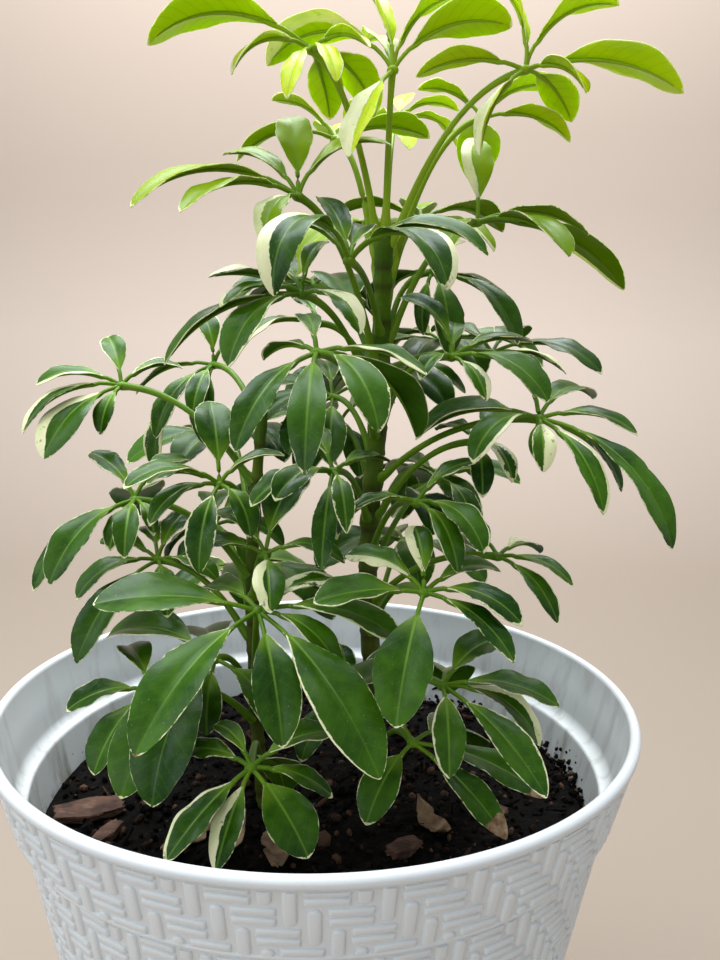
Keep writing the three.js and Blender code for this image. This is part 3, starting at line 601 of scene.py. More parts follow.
# %% The leaflet's frame and outline
def leaflet_frame(hub, leaf, share):
    """Midrib points, directions to the side and up, at shares of the way from hub to tip."""
    share = np.asarray(share, float)
    ch, sh = math.cos(leaf["heading"]), math.sin(leaf["heading"])
    cd, sd = math.cos(leaf["drop"]), math.sin(leaf["drop"])
    turn = leaf["bow"] * (1 - 2 * share)
    scale = leaf["reach"] / (2 * math.sin(leaf["bow"]))
    ahead = scale * (math.sin(leaf["bow"]) - np.sin(turn))
    lift = scale * (np.cos(turn) - math.cos(leaf["bow"]))
    point = np.stack([
        hub[0] + ahead * ch * cd + lift * ch * sd,
        hub[1] + ahead * sh * cd + lift * sh * sd,
        hub[2] - ahead * sd + lift * cd,
    ], axis=-1)
    ct, st = np.cos(turn), np.sin(turn)
    normal = [ct * ch * sd - st * ch * cd, ct * sh * sd - st * sh * cd, ct * cd + st * sd]
    cr, sr = np.cos(leaf["turned"] * share), np.sin(leaf["turned"] * share)
    side = np.stack([-sh * cr + normal[0] * sr, ch * cr + normal[1] * sr, normal[2] * sr], axis=-1)
    up = np.stack([normal[0] * cr + sh * sr, normal[1] * cr - ch * sr, normal[2] * cr], axis=-1)
    return point, side, up


def half_width(leaf, share):
    """Half the blade's width at shares of its own length: a narrow foot, widest past the middle."""
    share = np.clip(share, 0, 1)
    wave = np.maximum(np.sin(math.pi * share ** WIDEST_SHIFT), 0)
    wave = np.where((share <= 0) | (share >= 1), 0, wave)
    return leaf["width"] / 2 * wave ** FULLNESS


# %% [markdown]
# ## Growing clear of each other
# Every leaflet tries its own place first. If a sample point of it would come too near to what is already
# there, it turns, rises, sinks or shortens, as real leaflets do to reach the light.

# %% Room that pieces keep
BLADE_ROOM, SIBLING_ROOM, STALK_ROOM, STEM_ROOM = 4.6, 3, 5.4, 8.6
WALL_ROOM, SOIL_ROOM, LIP_WIDTH = 6, 5, 4
INNER_SHOULDER, LEDGE_DEPTH = 134.8, 36
CROWDED_SHARE, HUB_CROWD = 0.35, 0.85
SAMPLES_ALONG, SAMPLES_ACROSS, STALK_SAMPLES, STEM_SAMPLES = 12, 7, 24, 80
STALK_APART, OTHER_STEM_APART = 3.9, 7
WAYS_OUT = [
    [0, 0, 1], [7, 0, 1], [-7, 0, 1], [0, 7, 1], [0, -7, 1],
    [10, 7, 1], [-10, 7, 1], [10, -7, 1], [-10, -7, 1],
    [16, 0, 1], [-16, 0, 1], [0, 15, 1], [0, -15, 1],
    [0, 0, 0.85], [14, 0, 0.85], [-14, 0, 0.85], [0, 14, 0.85], [0, -14, 0.85],
    [24, 8, 0.85], [-24, 8, 0.85], [24, -10, 0.85], [-24, -10, 0.85],
    [0, 0, 0.7], [18, 0, 0.7], [-18, 0, 0.7], [0, 18, 0.7], [0, -18, 0.7],
]
STALK_BOWS = [0, 7, -7, 14, -14, 21, -21, 28, -28]
FILL = {"step": 64, "gap": 94, "drop": 16, "reach": 56, "broadness": 1.15, "awayness": 0.2}
STEM_NUMBERS = {"main": 1, "left": 2}

seed = 20481


def draw(low, high):
    global seed
    seed = (seed * 1664525 + 1013904223) % 4294967296
    return low + (high - low) * (seed / 4294967296)


# %% Sample points and the test for room
taken = {"points": [], "room": [], "owner": [], "crowded": [], "stem": []}


def take(points, room, owner, crowded, stem=0):
    taken["points"].extend(points)
    taken["room"].extend([room] * len(points))
    taken["owner"].extend([owner] * len(points))
    taken["crowded"].extend(crowded)
    taken["stem"].extend([stem] * len(points))


def leaflet_samples(hub, leaf):
    foot_shares = np.array([0.5 * PETIOLULE_SHARE, PETIOLULE_SHARE])
    points = [leaflet_frame(hub, leaf, foot_shares)[0]]
    shares = [foot_shares]
    along = np.arange(1, SAMPLES_ALONG + 1) / SAMPLES_ALONG
    share = PETIOLULE_SHARE + (1 - PETIOLULE_SHARE) * along
    point, side, up = leaflet_frame(hub, leaf, share)
    half = half_width(leaf, along)
    for i in range(SAMPLES_ALONG):
        steps = np.linspace(-1, 1, SAMPLES_ACROSS) if half[i] >= 1 else np.zeros(1)
        across = (half[i] * steps).reshape(-1, 1)
        points.append(point[i] + side[i] * across + up[i] * np.abs(across) * leaf["fold"])
        shares.append(np.full(len(steps), share[i]))
    return np.concatenate(points), np.concatenate(shares)


def meets_pot(points):
    r = np.hypot(points[:, 0], points[:, 1])
    z = points[:, 2]
    in_soil = (r < RIM_RADIUS) & (z < SOIL_TOP + SOIL_ROOM)
    in_wall = (r < RIM_RADIUS) & (r > INNER_SHOULDER - WALL_ROOM) & (z < POT_HEIGHT - LEDGE_DEPTH + 2)
    under_lip = (r > RIM_RADIUS - LIP_WIDTH - WALL_ROOM) & (r < RIM_RADIUS + WALL_ROOM)
    at_lip = under_lip & (z < POT_HEIGHT + WALL_ROOM)
    return bool(np.any(in_soil | in_wall | at_lip))


def is_clear(points, shares, owner):
    if meets_pot(points):
        return False
    other = np.array(taken["points"])
    low, high = points.min(0) - STEM_ROOM, points.max(0) + STEM_ROOM
    near = np.all((other > low) & (other < high), axis=1)
    if not near.any():
        return True
    room = np.array(taken["room"])[near]
    own = np.array(taken["owner"])[near] == owner
    crowded = np.array(taken["crowded"])[near]
    room = np.where(own, np.minimum(SIBLING_ROOM, room), room)
    apart = ((points[:, None, :] - other[near][None]) ** 2).sum(2)
    excused = own[None] & ((shares[:, None] < CROWDED_SHARE) | crowded[None])
    return not np.any((apart < room[None] ** 2) & ~excused)


def stalk_is_clear(points, stem_number):
    stem = np.array(taken["stem"])
    foreign = stem != stem_number
    room = np.where(stem[foreign] > 0, OTHER_STEM_APART, STALK_APART)
    other = np.array(taken["points"])[foreign]
    apart = ((points[1:, None, :] - other[None]) ** 2).sum(2)
    return not np.any(apart < room[None] ** 2)


# %% Leaflets that are seen, and those that fill a frond
def add_leaflet(frond, heading, drop, reach, broad, key, bow=None):
    drawn = draw(26, 44)
    leaf = {"key": key, "bow": math.radians(drawn if bow is None else bow)}
    roll = draw(-12, 12)
    leaf["fold"] = draw(0.14, 0.34)
    slim = draw(0.92, 1.08)
    face = FRONDS[frond["index"]][3]
    for turn, lower, shorter in WAYS_OUT:
        leaf["heading"] = math.radians(heading + turn)
        leaf["drop"] = math.radians(drop + lower)
        leaf["reach"] = reach * shorter
        leaf["turned"] = math.radians(roll + face * math.cos(leaf["heading"]))
        leaf["width"] = leaf["reach"] * (1 - PETIOLULE_SHARE) * WIDTH_PER_LENGTH * broad * slim
        points, shares = leaflet_samples(frond["hub"], leaf)
        if is_clear(points, shares, frond["index"]):
            take(list(points), BLADE_ROOM, frond["index"], list(shares < CROWDED_SHARE))
            frond["leaves"].append(leaf)
            return


def fill_frond(frond):
    bare = not frond["leaves"]
    headings = sorted(math.degrees(leaf["heading"]) % 360 for leaf in frond["leaves"])
    if bare:
        headings.append(draw(0, 60))
        drop = FILL["drop"] + draw(-8, 8)
        reach = FILL["reach"] + draw(-6, 6)
        add_leaflet(frond, headings[0], drop, reach, FILL["broadness"], "fill")
    stops = [*headings, headings[0] + 360]
    for start, end in zip(stops, stops[1:]):
        gap = end - start
        if gap < FILL["gap"]:
            continue
        count = math.floor(gap / FILL["step"] + 0.5) - 1
        for j in range(1, count + 1):
            heading = start + gap * j / (count + 1) + draw(-7, 7)
            if not bare and math.sin(math.radians(heading)) < FILL["awayness"]:
                continue
            drop = FILL["drop"] + draw(-10, 12)
            reach = FILL["reach"] + draw(-8, 8)
            add_leaflet(frond, heading, drop, reach, FILL["broadness"], "fill")


# %% Growth: stems, then stalks, then leaflets
def grow():
    for name, stem in STEMS.items():
        points = [stem_point(stem, i / STEM_SAMPLES) for i in range(STEM_SAMPLES + 1)]
        take(points, STEM_ROOM, -1, [False] * len(points), STEM_NUMBERS[name])
    shares = np.arange(STALK_SAMPLES + 1) / STALK_SAMPLES
    fronds = []
    for index, row in enumerate(FRONDS):
        stem_number = STEM_NUMBERS[row[0]]
        clear_bows = (
            bow for bow in STALK_BOWS if stalk_is_clear(on_stalk(stalk_curve(row, bow), shares), stem_number))
        curve = stalk_curve(row, next(clear_bows, 0))
        take(list(on_stalk(curve, shares)), STALK_ROOM, index, list(shares > HUB_CROWD))
        fronds.append({"index": index, "curve": curve, "hub": curve[2], "leaves": []})
    for frond in fronds:
        for key, row in enumerate(FRONDS[frond["index"]][4]):
            heading, drop, reach, *shape = row
            broad, bow = [*shape, *(1, None)[len(shape):]]
            add_leaflet(frond, heading, drop, reach, broad, key, bow)
    for frond in fronds:
        fill_frond(frond)
    return fronds


fronds = grow()
print("grown:", len(fronds), "fronds with", sum(len(f["leaves"]) for f in fronds), "leaflets")


# %% [markdown]
# ## Handling meshes
# An operator acts on whatever is selected, so each helper first selects just its own piece. Points are read
# and written as whole arrays, which is far quicker than one by one.


# %% Selecting, reading and writing
def only(piece):
    bpy.ops.object.select_all(action="DESELECT")
    piece.select_set(True)
    bpy.context.view_layer.objects.active = piece
    return piece


def points_of(piece):
    flat = np.empty(len(piece.data.vertices) * 3, np.float32)
    piece.data.vertices.foreach_get("co", flat)
    return flat.reshape(-1, 3).astype(float)


def place_points(piece, points, scale=METRES):
    """Gives a mesh its points, which are in millimetres unless a scale says otherwise."""
    piece.data.vertices.foreach_set("co", (np.asarray(points) * scale).astype(np.float32).ravel())
    piece.data.update()


def carry(piece, name, values):
    """Stores a number for each point of a mesh, for its material to read."""
    layer = piece.data.attributes.new(name, "FLOAT", "POINT")
    layer.data.foreach_set("value", np.asarray(values, np.float32))


def copy_of(pattern, name):
    piece = bpy.data.objects.new(name, pattern.data.copy())
    bpy.context.scene.collection.objects.link(piece)
    return piece


def joined(pieces, name):
    bpy.ops.object.select_all(action="DESELECT")
    for piece in pieces:
        piece.select_set(True)
    bpy.context.view_layer.objects.active = pieces[0]
    bpy.ops.object.join()
    pieces[0].name = name
    pieces[0].data.name = name
    return pieces[0]


def close_edit():
    """Turns every face of the mesh in edit mode outward and goes back to object mode."""
    bpy.ops.mesh.select_all(action="SELECT")
    bpy.ops.mesh.normals_make_consistent(inside=False)
    bpy.ops.object.mode_set(mode="OBJECT")


def set_finishes(piece, *materials):
    piece.data.materials.clear()
    for material in materials:
        piece.data.materials.append(material)


def apply_modifier(piece, kind, **settings):
    modifier = only(piece).modifiers.new(kind.lower(), kind)
    for name, value in settings.items():
        setattr(modifier, name, value)
    bpy.ops.object.modifier_apply(modifier=modifier.name)


def smooth(piece, degrees=40):
    only(piece)
    bpy.ops.object.shade_smooth_by_angle(angle=math.radians(degrees))


def show_as(piece, slot, *nodes):
    """Lets a finished piece ride on the plant and stand for CAD nodes."""
    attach(piece, "root")
    if nodes:
        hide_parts(*nodes)
    return piece


# %% [markdown]
# ## The blade pattern
# One blade is modelled flat, as a strip of quads with a line down its middle for the midrib, and made solid
# by Solidify, which also gives the under side its own material. Every leaflet is a bent copy of it.

# %% Blade pattern
BLADE_ACROSS = 8
BLADE_ALONG = 26
bpy.ops.mesh.primitive_grid_add(x_subdivisions=BLADE_ACROSS, y_subdivisions=BLADE_ALONG, size=2)
blade_pattern = bpy.context.object
apply_modifier(blade_pattern, "SOLIDIFY", thickness=0.2, offset=0, material_offset=1)
smooth(blade_pattern)
set_finishes(blade_pattern, leaf_top, leaf_under)
blade_flat = points_of(blade_pattern)
print("a blade has", len(blade_pattern.data.polygons), "faces")

# %% [markdown]
# ## The tube pattern
# Stalks, midribs and stems are tubes. One straight tube is extruded ring by ring from a disc, with both
# ends closed, and each copy's rings are then set out along a curve.


# %% Tube pattern
def tube_pattern(sides, rings, name):
    bpy.ops.object.select_all(action="DESELECT")
    bpy.ops.mesh.primitive_circle_add(vertices=sides, radius=1, fill_type="NGON")
    tube = bpy.context.object
    tube.name = name
    bpy.ops.object.mode_set(mode="EDIT")
    for _ in range(rings):
        bpy.ops.mesh.extrude_region_move(TRANSFORM_OT_translate={"value": (0, 0, 1 / rings)})
    close_edit()
    smooth(tube, 60)
    return tube


def bent_tube(pattern, name, middle, ahead, radius):
    """A copy of a tube along middle points, upright to the ahead directions, with a radius for each ring."""
    piece = copy_of(pattern, name)
    flat = points_of(pattern)
    ring = np.rint(flat[:, 2] * (len(middle) - 1)).astype(int)
    ahead = ahead / np.linalg.norm(ahead, axis=1, keepdims=True)
    steady = np.where(np.abs(ahead[:, 2:3]) > 0.95, [[0.0, 1.0, 0.0]], [[0.0, 0.0, 1.0]])
    side = np.cross(steady, ahead)
    side /= np.linalg.norm(side, axis=1, keepdims=True)
    over = np.cross(ahead, side)
    wide = np.asarray(radius)[ring].reshape(-1, 1)
    place_points(piece, middle[ring] + (side[ring] * flat[:, :1] + over[ring] * flat[:, 1:2]) * wide)
    return piece


RIB_RINGS = 16
STALK_RINGS = 18
rib_pattern = tube_pattern(7, RIB_RINGS, "rib_pattern")
stalk_pattern = tube_pattern(10, STALK_RINGS, "stalk_pattern")
bpy.ops.object.select_all(action="DESELECT")
bpy.ops.mesh.primitive_ico_sphere_add(subdivisions=2, radius=1)
hub_pattern = bpy.context.object
smooth(hub_pattern, 80)
for pattern in (rib_pattern, stalk_pattern, hub_pattern):
    set_finishes(pattern, stalk_green)

# %% [markdown]
# ## What single leaflets look like
# Most leaflets have a plain thin margin. Those that the photograph shows well are listed by frond and by
# their place in its row: how far the cream spreads, on which side, and how many millimetres of the tip have
# dried. Upper fronds are young and light, and lower ones old and dark.

# %% Marked leaflets
CREAM = {
    (1, 0): 0.5, (1, 5): 0.9, (2, 3): 0.12, (2, 5): 1.0, (3, 1): 0.3, (6, 0): 0, (6, 1): 0,
    (8, 1): 0.15, (8, 3): 0.15, (10, 0): 0.4, (10, 1): 0.25, (11, 0): 0.12, (11, 1): 0.2, (11, 4): 0.6,
    (12, 0): 0, (12, 1): 0, (12, 2): 0.02, (12, 3): 0.3, (14, 3): 0.2, (17, 0): 0.12, (17, 2): 0.1,
    (17, 3): 0, (17, 6): 0.4, (20, 0): 0.04, (20, 1): 0.5, (20, 2): 0.3, (20, 4): 0, (20, 5): 0,
    (22, 0): 0, (22, 1): 0, (22, 2): 0.02, (22, 3): 0.04, (22, 4): 0.55, (22, 5): 0.5, (22, 6): 0.1,
    (23, 0): 0, (23, 1): 0.1, (23, 2): 0.3, (24, 0): 0, (24, 1): 0, (24, 2): 0, (25, 0): 0.05,
    (25, 1): 0, (25, 2): 0, (25, 3): 0.03, (25, 4): 0.3, (26, 1): 0, (27, 3): 0, (31, 0): 0.2,
    (31, 1): 0.35, (31, 2): 0.45, (31, 4): 0.2, (32, 1): 0.35, (35, 0): 0, (35, 1): 0.1
}
CREAM_SIDE = {
    (1, 0): -1, (1, 5): 1, (10, 0): 1, (10, 1): -1, (12, 3): 1, (23, 2): 1
}
DRY_TIPS = {
    (22, 1): 1.2, (24, 1): 9, (24, 2): 7
}
CREAM_CHANCE = 0.10
YOUNG_FROM, YOUNG_TO = 456, 532
YOUNG_SHARE = 0.15
BLADE_THICKNESS = 0.6
TIP_HALF = 0.35


def looks_of(frond, leaf):
    """Numbers that make one leaflet differ from the next, drawn from its own seed."""
    number = frond["index"] + 1
    key = leaf["key"] if leaf["key"] != "fill" else 20 + frond["leaves"].index(leaf)
    chance = np.random.default_rng(100 * number + key)
    age = (frond["hub"][2] - YOUNG_FROM) / (YOUNG_TO - YOUNG_FROM)
    looks = {
        "leaflet": chance.random(),
        "cream": chance.uniform(0.25, 0.6) if chance.random() < CREAM_CHANCE else chance.uniform(0, 0.04),
        "cream_side": chance.choice([-1, 0, 1]),
        "edge_mm": chance.uniform(0.2, 0.65),
        "dry_mm": 0,
        "young": float(np.clip(age + chance.uniform(-0.12, 0.12), 0, 1)),
        "wave": chance.uniform(0.25, 0.85),
        "waves": chance.uniform(1.6, 2.8),
        "phase": chance.uniform(0, 2 * math.pi, 2),
        "notch_at": chance.uniform(0.2, 0.95, 5),
        "notch_deep": chance.uniform(0.0, 0.09, 5) * (chance.random(5) < 0.7),
        "notch_side": chance.choice([-1, 1], 5),
    }
    for name, marked in (("cream", CREAM), ("cream_side", CREAM_SIDE), ("dry_mm", DRY_TIPS)):
        looks[name] = marked.get((number, leaf["key"]), looks[name])
    return looks


# %% [markdown]
# ## Bending a blade into place
# The pattern's own coordinates say how far a point is across and along the blade. The outline is the CAD
# model's. On top of it come a soft swell between midrib and margin, a wave along the margin and a few
# shallow notches, all smaller than the room between leaflets.


# %% Blades and their ribs
OUTLINE_AT, OUTLINE_POWER = [0, 0.35, 0.7, 1], [0.12, 0.02, -0.18, -0.17]
CROWDED_TO_ENDS = 0.45
NOTCH_LENGTH = 0.022
FOOT_HALF, FOOT_END = 0.9, 0.03
SWELL = 0.085
EDGE_THINNING = 0.45
FULL_WAVE_HALF = 6


def fuller_half(leaf, along):
    """The CAD outline with a rounder tip and a slimmer foot, within a millimetre and a half of it."""
    half = half_width(leaf, along)
    power = np.interp(along, OUTLINE_AT, OUTLINE_POWER)
    return half * np.maximum(half / (leaf["width"] / 2), 1e-3) ** power


def blade_of(frond, leaf, looks):
    across = blade_flat[:, 0]
    straight = (blade_flat[:, 1] + 1) / 2
    crowded = 0.5 - 0.5 * np.cos(math.pi * straight)
    along = (1 - CROWDED_TO_ENDS) * straight + CROWDED_TO_ENDS * crowded
    face = np.sign(blade_flat[:, 2])
    half = fuller_half(leaf, along)
    for at, deep, side in zip(looks["notch_at"], looks["notch_deep"], looks["notch_side"]):
        dip = np.exp(-((along - at) / NOTCH_LENGTH) ** 2) * (across * side > 0)
        half = half * (1 - deep * dip)
    half = np.maximum(half, TIP_HALF)
    half = np.maximum(half, FOOT_HALF * (1 - along / FOOT_END))
    share = PETIOLULE_SHARE + (1 - PETIOLULE_SHARE) * along
    point, side, up = leaflet_frame(frond["hub"], leaf, share)
    out = np.abs(across)
    swell = half * SWELL * np.sin(math.pi * out) * np.sin(math.pi * along)
    phase = np.where(across > 0, looks["phase"][0], looks["phase"][1])
    wave = looks["wave"] * across ** 2 * np.sin(2 * math.pi * looks["waves"] * along + phase)
    wave = wave * np.sin(math.pi * along) * np.minimum(half / FULL_WAVE_HALF, 1)
    thick = face * BLADE_THICKNESS / 2 * (1 - EDGE_THINNING * out ** 2)
    lift = out * half * leaf["fold"] + swell + wave + thick
    piece = copy_of(blade_pattern, "blade")
    place_points(piece, point - side * (across * half)[:, None] + up * lift[:, None])
    length = leaf["reach"] * (1 - PETIOLULE_SHARE)
    carry(piece, "across_mm", across * half)
    carry(piece, "along_mm", along * length)
    ends = np.minimum(along, 1 - along) * length
    carry(piece, "margin_mm", np.minimum((1 - out) * half, ends + 0.2))
    carry(piece, "tip_mm", (1 - along) * length)
    for name in ("leaflet", "cream", "cream_side", "edge_mm", "young", "dry_mm"):
        carry(piece, name, np.full(len(along), looks[name]))
    if frond["young"]:
        set_finishes(piece, young_top, young_under)
    return piece


RIB_SPAN = [0.02, 0.93]
RIB_RADIUS, RIB_TIP_RADIUS, RIB_FOOT_FLARE = 0.95, 0.12, 0.35


def rib_of(frond, leaf, looks):
    """The leaflet's own short stalk and the midrib that it becomes, which stands out under the blade."""
    share = np.linspace(*RIB_SPAN, RIB_RINGS + 1)
    own = np.clip((share - PETIOLULE_SHARE) / (1 - PETIOLULE_SHARE), 0, 1)
    point, side, up = leaflet_frame(frond["hub"], leaf, share)
    on_blade = RIB_RADIUS * (1 - own) ** 0.8 + RIB_TIP_RADIUS
    on_own_stalk = RIB_RADIUS + RIB_FOOT_FLARE * np.clip(1 - share / 0.06, 0, 1)
    radius = np.where(own > 0, on_blade, on_own_stalk)
    sunk = np.where(own > 0, radius * 0.55 + 0.12, 0) * np.clip(own / 0.06, 0, 1)
    middle = point - up * sunk[:, None]
    piece = bent_tube(rib_pattern, "rib", middle, np.gradient(middle, axis=0), radius)
    carry(piece, "young", np.full(len(piece.data.vertices), looks["young"]))
    return piece


# %% Stalks and hubs
FOOT_FLARE, FOOT_FLARE_LENGTH = 1.3, 0.05
HUB_FLARE, HUB_FLARE_LENGTH = 0.5, 0.04
FOOT_SUNK = 1.6
HUB_RADII = [2.7, 2.7, 2.1]


def stalk_of(frond):
    """From inside the stem's skin out to the hub, with a foot that clasps the stem."""
    start, bent, end = frond["curve"]
    share = np.linspace(0, 1, STALK_RINGS + 1)
    middle = on_stalk(frond["curve"], share)
    stem_middle = stem_point_at(STEMS[FRONDS[frond["index"]][0]], FRONDS[frond["index"]][1])
    inward = stem_middle - start
    middle[0] = start + inward / np.linalg.norm(inward) * FOOT_SUNK
    ahead = np.gradient(middle, axis=0)
    radius = STALK_RADIUS * (0.85 + 0.08 * np.cos(2 * math.pi * share))
    radius = radius + FOOT_FLARE * np.exp(-(share / FOOT_FLARE_LENGTH) ** 2)
    radius = radius + HUB_FLARE * np.exp(-((1 - share) / HUB_FLARE_LENGTH) ** 2)
    piece = bent_tube(stalk_pattern, "stalk", middle, ahead, radius)
    hub = copy_of(hub_pattern, "hub")
    place_points(hub, points_of(hub_pattern) * HUB_RADII + end)
    young = float(np.clip((end[2] - YOUNG_FROM) / (YOUNG_TO - YOUNG_FROM), 0, 1))
    for part in (piece, hub):
        carry(part, "young", np.full(len(part.data.vertices), young))
    return [piece, hub]


# %% Every frond, one piece each
def dress_frond(frond):
    parts = []
    frond["young"] = (frond["hub"][2] - YOUNG_FROM) / (YOUNG_TO - YOUNG_FROM) > YOUNG_SHARE
    for leaf in frond["leaves"]:
        looks = looks_of(frond, leaf)
        parts += [blade_of(frond, leaf, looks), rib_of(frond, leaf, looks)]
    parts += stalk_of(frond)
    number = f"{frond['index'] + 1:02d}"
    piece = joined(parts, "fine_frond_" + number)
    return show_as(piece, "leaf", "frond_" + number)


worst = 0
for frond in fronds:
    fine = points_of(dress_frond(frond))
    plain = np.array(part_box(f"frond_{frond['index'] + 1:02d}"))
    worst = max(worst, *np.abs(fine.min(0) - plain[0]), *np.abs(fine.max(0) - plain[1]))
print("the fine fronds end within", round(1000 * worst, 1), "mm of the plain ones")

# %% [markdown]
# ## The stems
# Where old leaves fell off, a stem keeps ring scars: a low ridge with a dark line under it. A bump map
# would leave the outline straight, so the rings are in the mesh.

# %% Stems
STEM_RINGS, STEM_SIDES = 150, 20
FIRST_SCAR, LAST_SCAR, SCARS_APART = 20, 12, (8, 17)
RIDGE_HEIGHT, GROOVE_DEPTH, CLASP_SWELL = 0.42, 0.15, 0.55


def hump(levels, at, width):
    """1 at a level, falling off softly on both sides."""
    return np.exp(-((levels - at) / width) ** 2)


def dress_stem(name):
    stem = STEMS[name]
    low, high = stem["points"][0][2], stem["points"][-1][2]
    chance = np.random.default_rng(7 + STEM_NUMBERS[name])
    levels = np.linspace(low, high, STEM_RINGS + 1)
    middle = np.array([stem_point_at(stem, level) for level in levels])
    radius = np.array([stem_radius(stem, level) for level in levels])
    scar = np.zeros(len(levels))
    level = low + FIRST_SCAR
    while level < high - LAST_SCAR:
        radius = radius + RIDGE_HEIGHT * hump(levels, level, 1.3)
        radius = radius - GROOVE_DEPTH * hump(levels, level - 2.6, 1.2)
        scar = np.maximum(scar, hump(levels, level - 2.2, 1.3))
        level += chance.uniform(*SCARS_APART)
    for row in FRONDS:
        if row[0] == name:
            radius = radius + CLASP_SWELL * hump(levels, row[1] - 1, 4.5)
    radius[-2:] *= [0.9, 0.5]
    pattern = tube_pattern(STEM_SIDES, STEM_RINGS, "stem_pattern")
    piece = bent_tube(pattern, "fine_" + name + "_stem", middle, np.gradient(middle, axis=0), radius)
    rings = np.rint(points_of(pattern)[:, 2] * STEM_RINGS).astype(int)
    carry(piece, "scar", scar[rings])
    bpy.data.objects.remove(pattern)
    set_finishes(piece, stem_bark)
    return show_as(piece, "bark", name + "_stem")


for name in STEMS:
    dress_stem(name)

# %% [markdown]
# ## The pot's plastic
# The pot is moulded from cream-white plastic with a soft gloss. Outside it is clean. Inside, its white is
# painted paler as painted light on the inner wall, and soil water has left grey streaks that run down it.


# %% Plastic finishes
def plastic_finish():
    finish = Finish("pot_plastic", {"IOR": 1.49, "Subsurface Weight": 0.05, "Subsurface Scale": 0.002})
    where = finish.place()
    cloud = finish.noise(where, 9, 3)
    orange_peel = finish.noise(where, 650, 2)
    dust = finish.noise(where, 70, 5, 0.65)
    white = finish.blend(cloud.past(0.3, 0.5), (0.73, 0.765, 0.785), (0.78, 0.805, 0.82))
    colour = finish.blend(dust.past(0.62, 0.2) * 0.35, white, (0.60, 0.57, 0.50))
    return finish.surface(colour, 0.30 + dust * 0.14, finish.bump(orange_peel + dust * 0.5, 0.00012, 0.5))


def inside_finish():
    finish = Finish("pot_inside_painted_lighter", {"IOR": 1.49})
    where = finish.place()
    height = finish.part(where, "Z")
    streak = finish.noise(finish.stretched(where, (1, 1, 0.14)), 95, 4, 0.6)
    speck = finish.noise(where, 420, 2)
    cloud = finish.noise(where, 26, 4)
    low_down = 1 - height.past(0.196, 0.03)
    # Painted light: both inner whites are paler than the outer plastic's, to stand in for light on the inner
    # wall.
    white = finish.blend(cloud.past(0.3, 0.5), (0.80, 0.83, 0.835), (0.85, 0.875, 0.885))
    grime = streak.past(0.5, 0.2) * (0.3 + low_down * 0.65)
    colour = finish.blend(grime, white, (0.30, 0.29, 0.23))
    colour = finish.blend((speck * (0.6 + low_down * 0.5)).past(0.72, 0.05), colour, (0.06, 0.045, 0.03))
    return finish.surface(colour, 0.36 + grime * 0.3, finish.bump(streak, 0.0002, 0.3))


pot_plastic = plastic_finish()
pot_inside_painted_lighter = inside_finish()

# %% [markdown]
# ## Turning the pot
# A pot is round, so its shell is made as on a wheel: a disc for the underside, extruded and scaled ring by
# ring up the outside, over the rolled lip, down the collar's inner wall, round the ledge and down to the
# floor. A Screw modifier on a profile would do as well, but it leaves a seam and poles to merge.

# %% Profile of the pot
COLLAR_TOP, COLLAR_FOOT, COLLAR_DEPTH = 147.8, 140.6, 34.5
STEP_DEPTH, SHOULDER_RADIUS = 38, 137
BASE_RADIUS, POT_WALL, FLOOR_THICKNESS = 94, 2.2, 4
LIP_DEPTH = 5
LIP_MIDDLE, ABOVE_UNDERSIDE = 145.4, 10
POT_SIDES = 232
GROUND_BACK = 0.6


def arc(middle, radii, start, end, steps):
    """Points [radius, depth] of an elliptical arc. 0 degrees points outward and 90 upward."""
    turns = np.radians(np.linspace(start, end, steps))
    return [[middle[0] + radii[0] * math.cos(t), middle[1] - radii[1] * math.sin(t)] for t in turns]


def body_radius(depth):
    """The outside of the body under the collar."""
    share = (depth - STEP_DEPTH) / (POT_HEIGHT - STEP_DEPTH)
    return SHOULDER_RADIUS - share * (SHOULDER_RADIUS - BASE_RADIUS)


def collar_radius(depth):
    share = (depth - LIP_DEPTH - 1.5) / (COLLAR_DEPTH - LIP_DEPTH - 1.5)
    return COLLAR_TOP - share * (COLLAR_TOP - COLLAR_FOOT)


def pot_profile():
    slope = (SHOULDER_RADIUS - BASE_RADIUS) / (POT_HEIGHT - STEP_DEPTH)
    inner_base = BASE_RADIUS + FLOOR_THICKNESS * slope - POT_WALL
    outside = arc([BASE_RADIUS - 2.4, POT_HEIGHT - 2.4], [2.4, 2.4], -90, 0, 5)
    for depth in np.linspace(POT_HEIGHT - 4, STEP_DEPTH + 1.5, 8):
        outside.append([body_radius(depth) - GROUND_BACK, depth])
    outside += [[137.2, 37.4], [138.6, 36.2]]
    outside += arc([COLLAR_FOOT - 0.7, COLLAR_DEPTH - 0.2], [1.0, 1.0], -100, 70, 7)
    for depth in (COLLAR_DEPTH - 2, 24, 15, LIP_DEPTH + 1.6):
        outside.append([collar_radius(depth) - GROUND_BACK, depth])
    lip = arc([147.6, 2.5], [2.4, 2.5], -62, 180, 14)
    inner_wall = [[145.0, 5.5], [142.6, 16], [139.9, 28]]
    ledge = arc([134.6, 28.4], [5.3, 5.6], -4, -84, 8) + arc([134.9, 36.2], [1.2, 2.2], 80, 180, 5)[1:]
    floor = POT_HEIGHT - FLOOR_THICKNESS
    inside = [[inner_base + 1, floor - 1], [inner_base - 1, floor]]
    return np.array(outside + lip + inner_wall + ledge + inside)


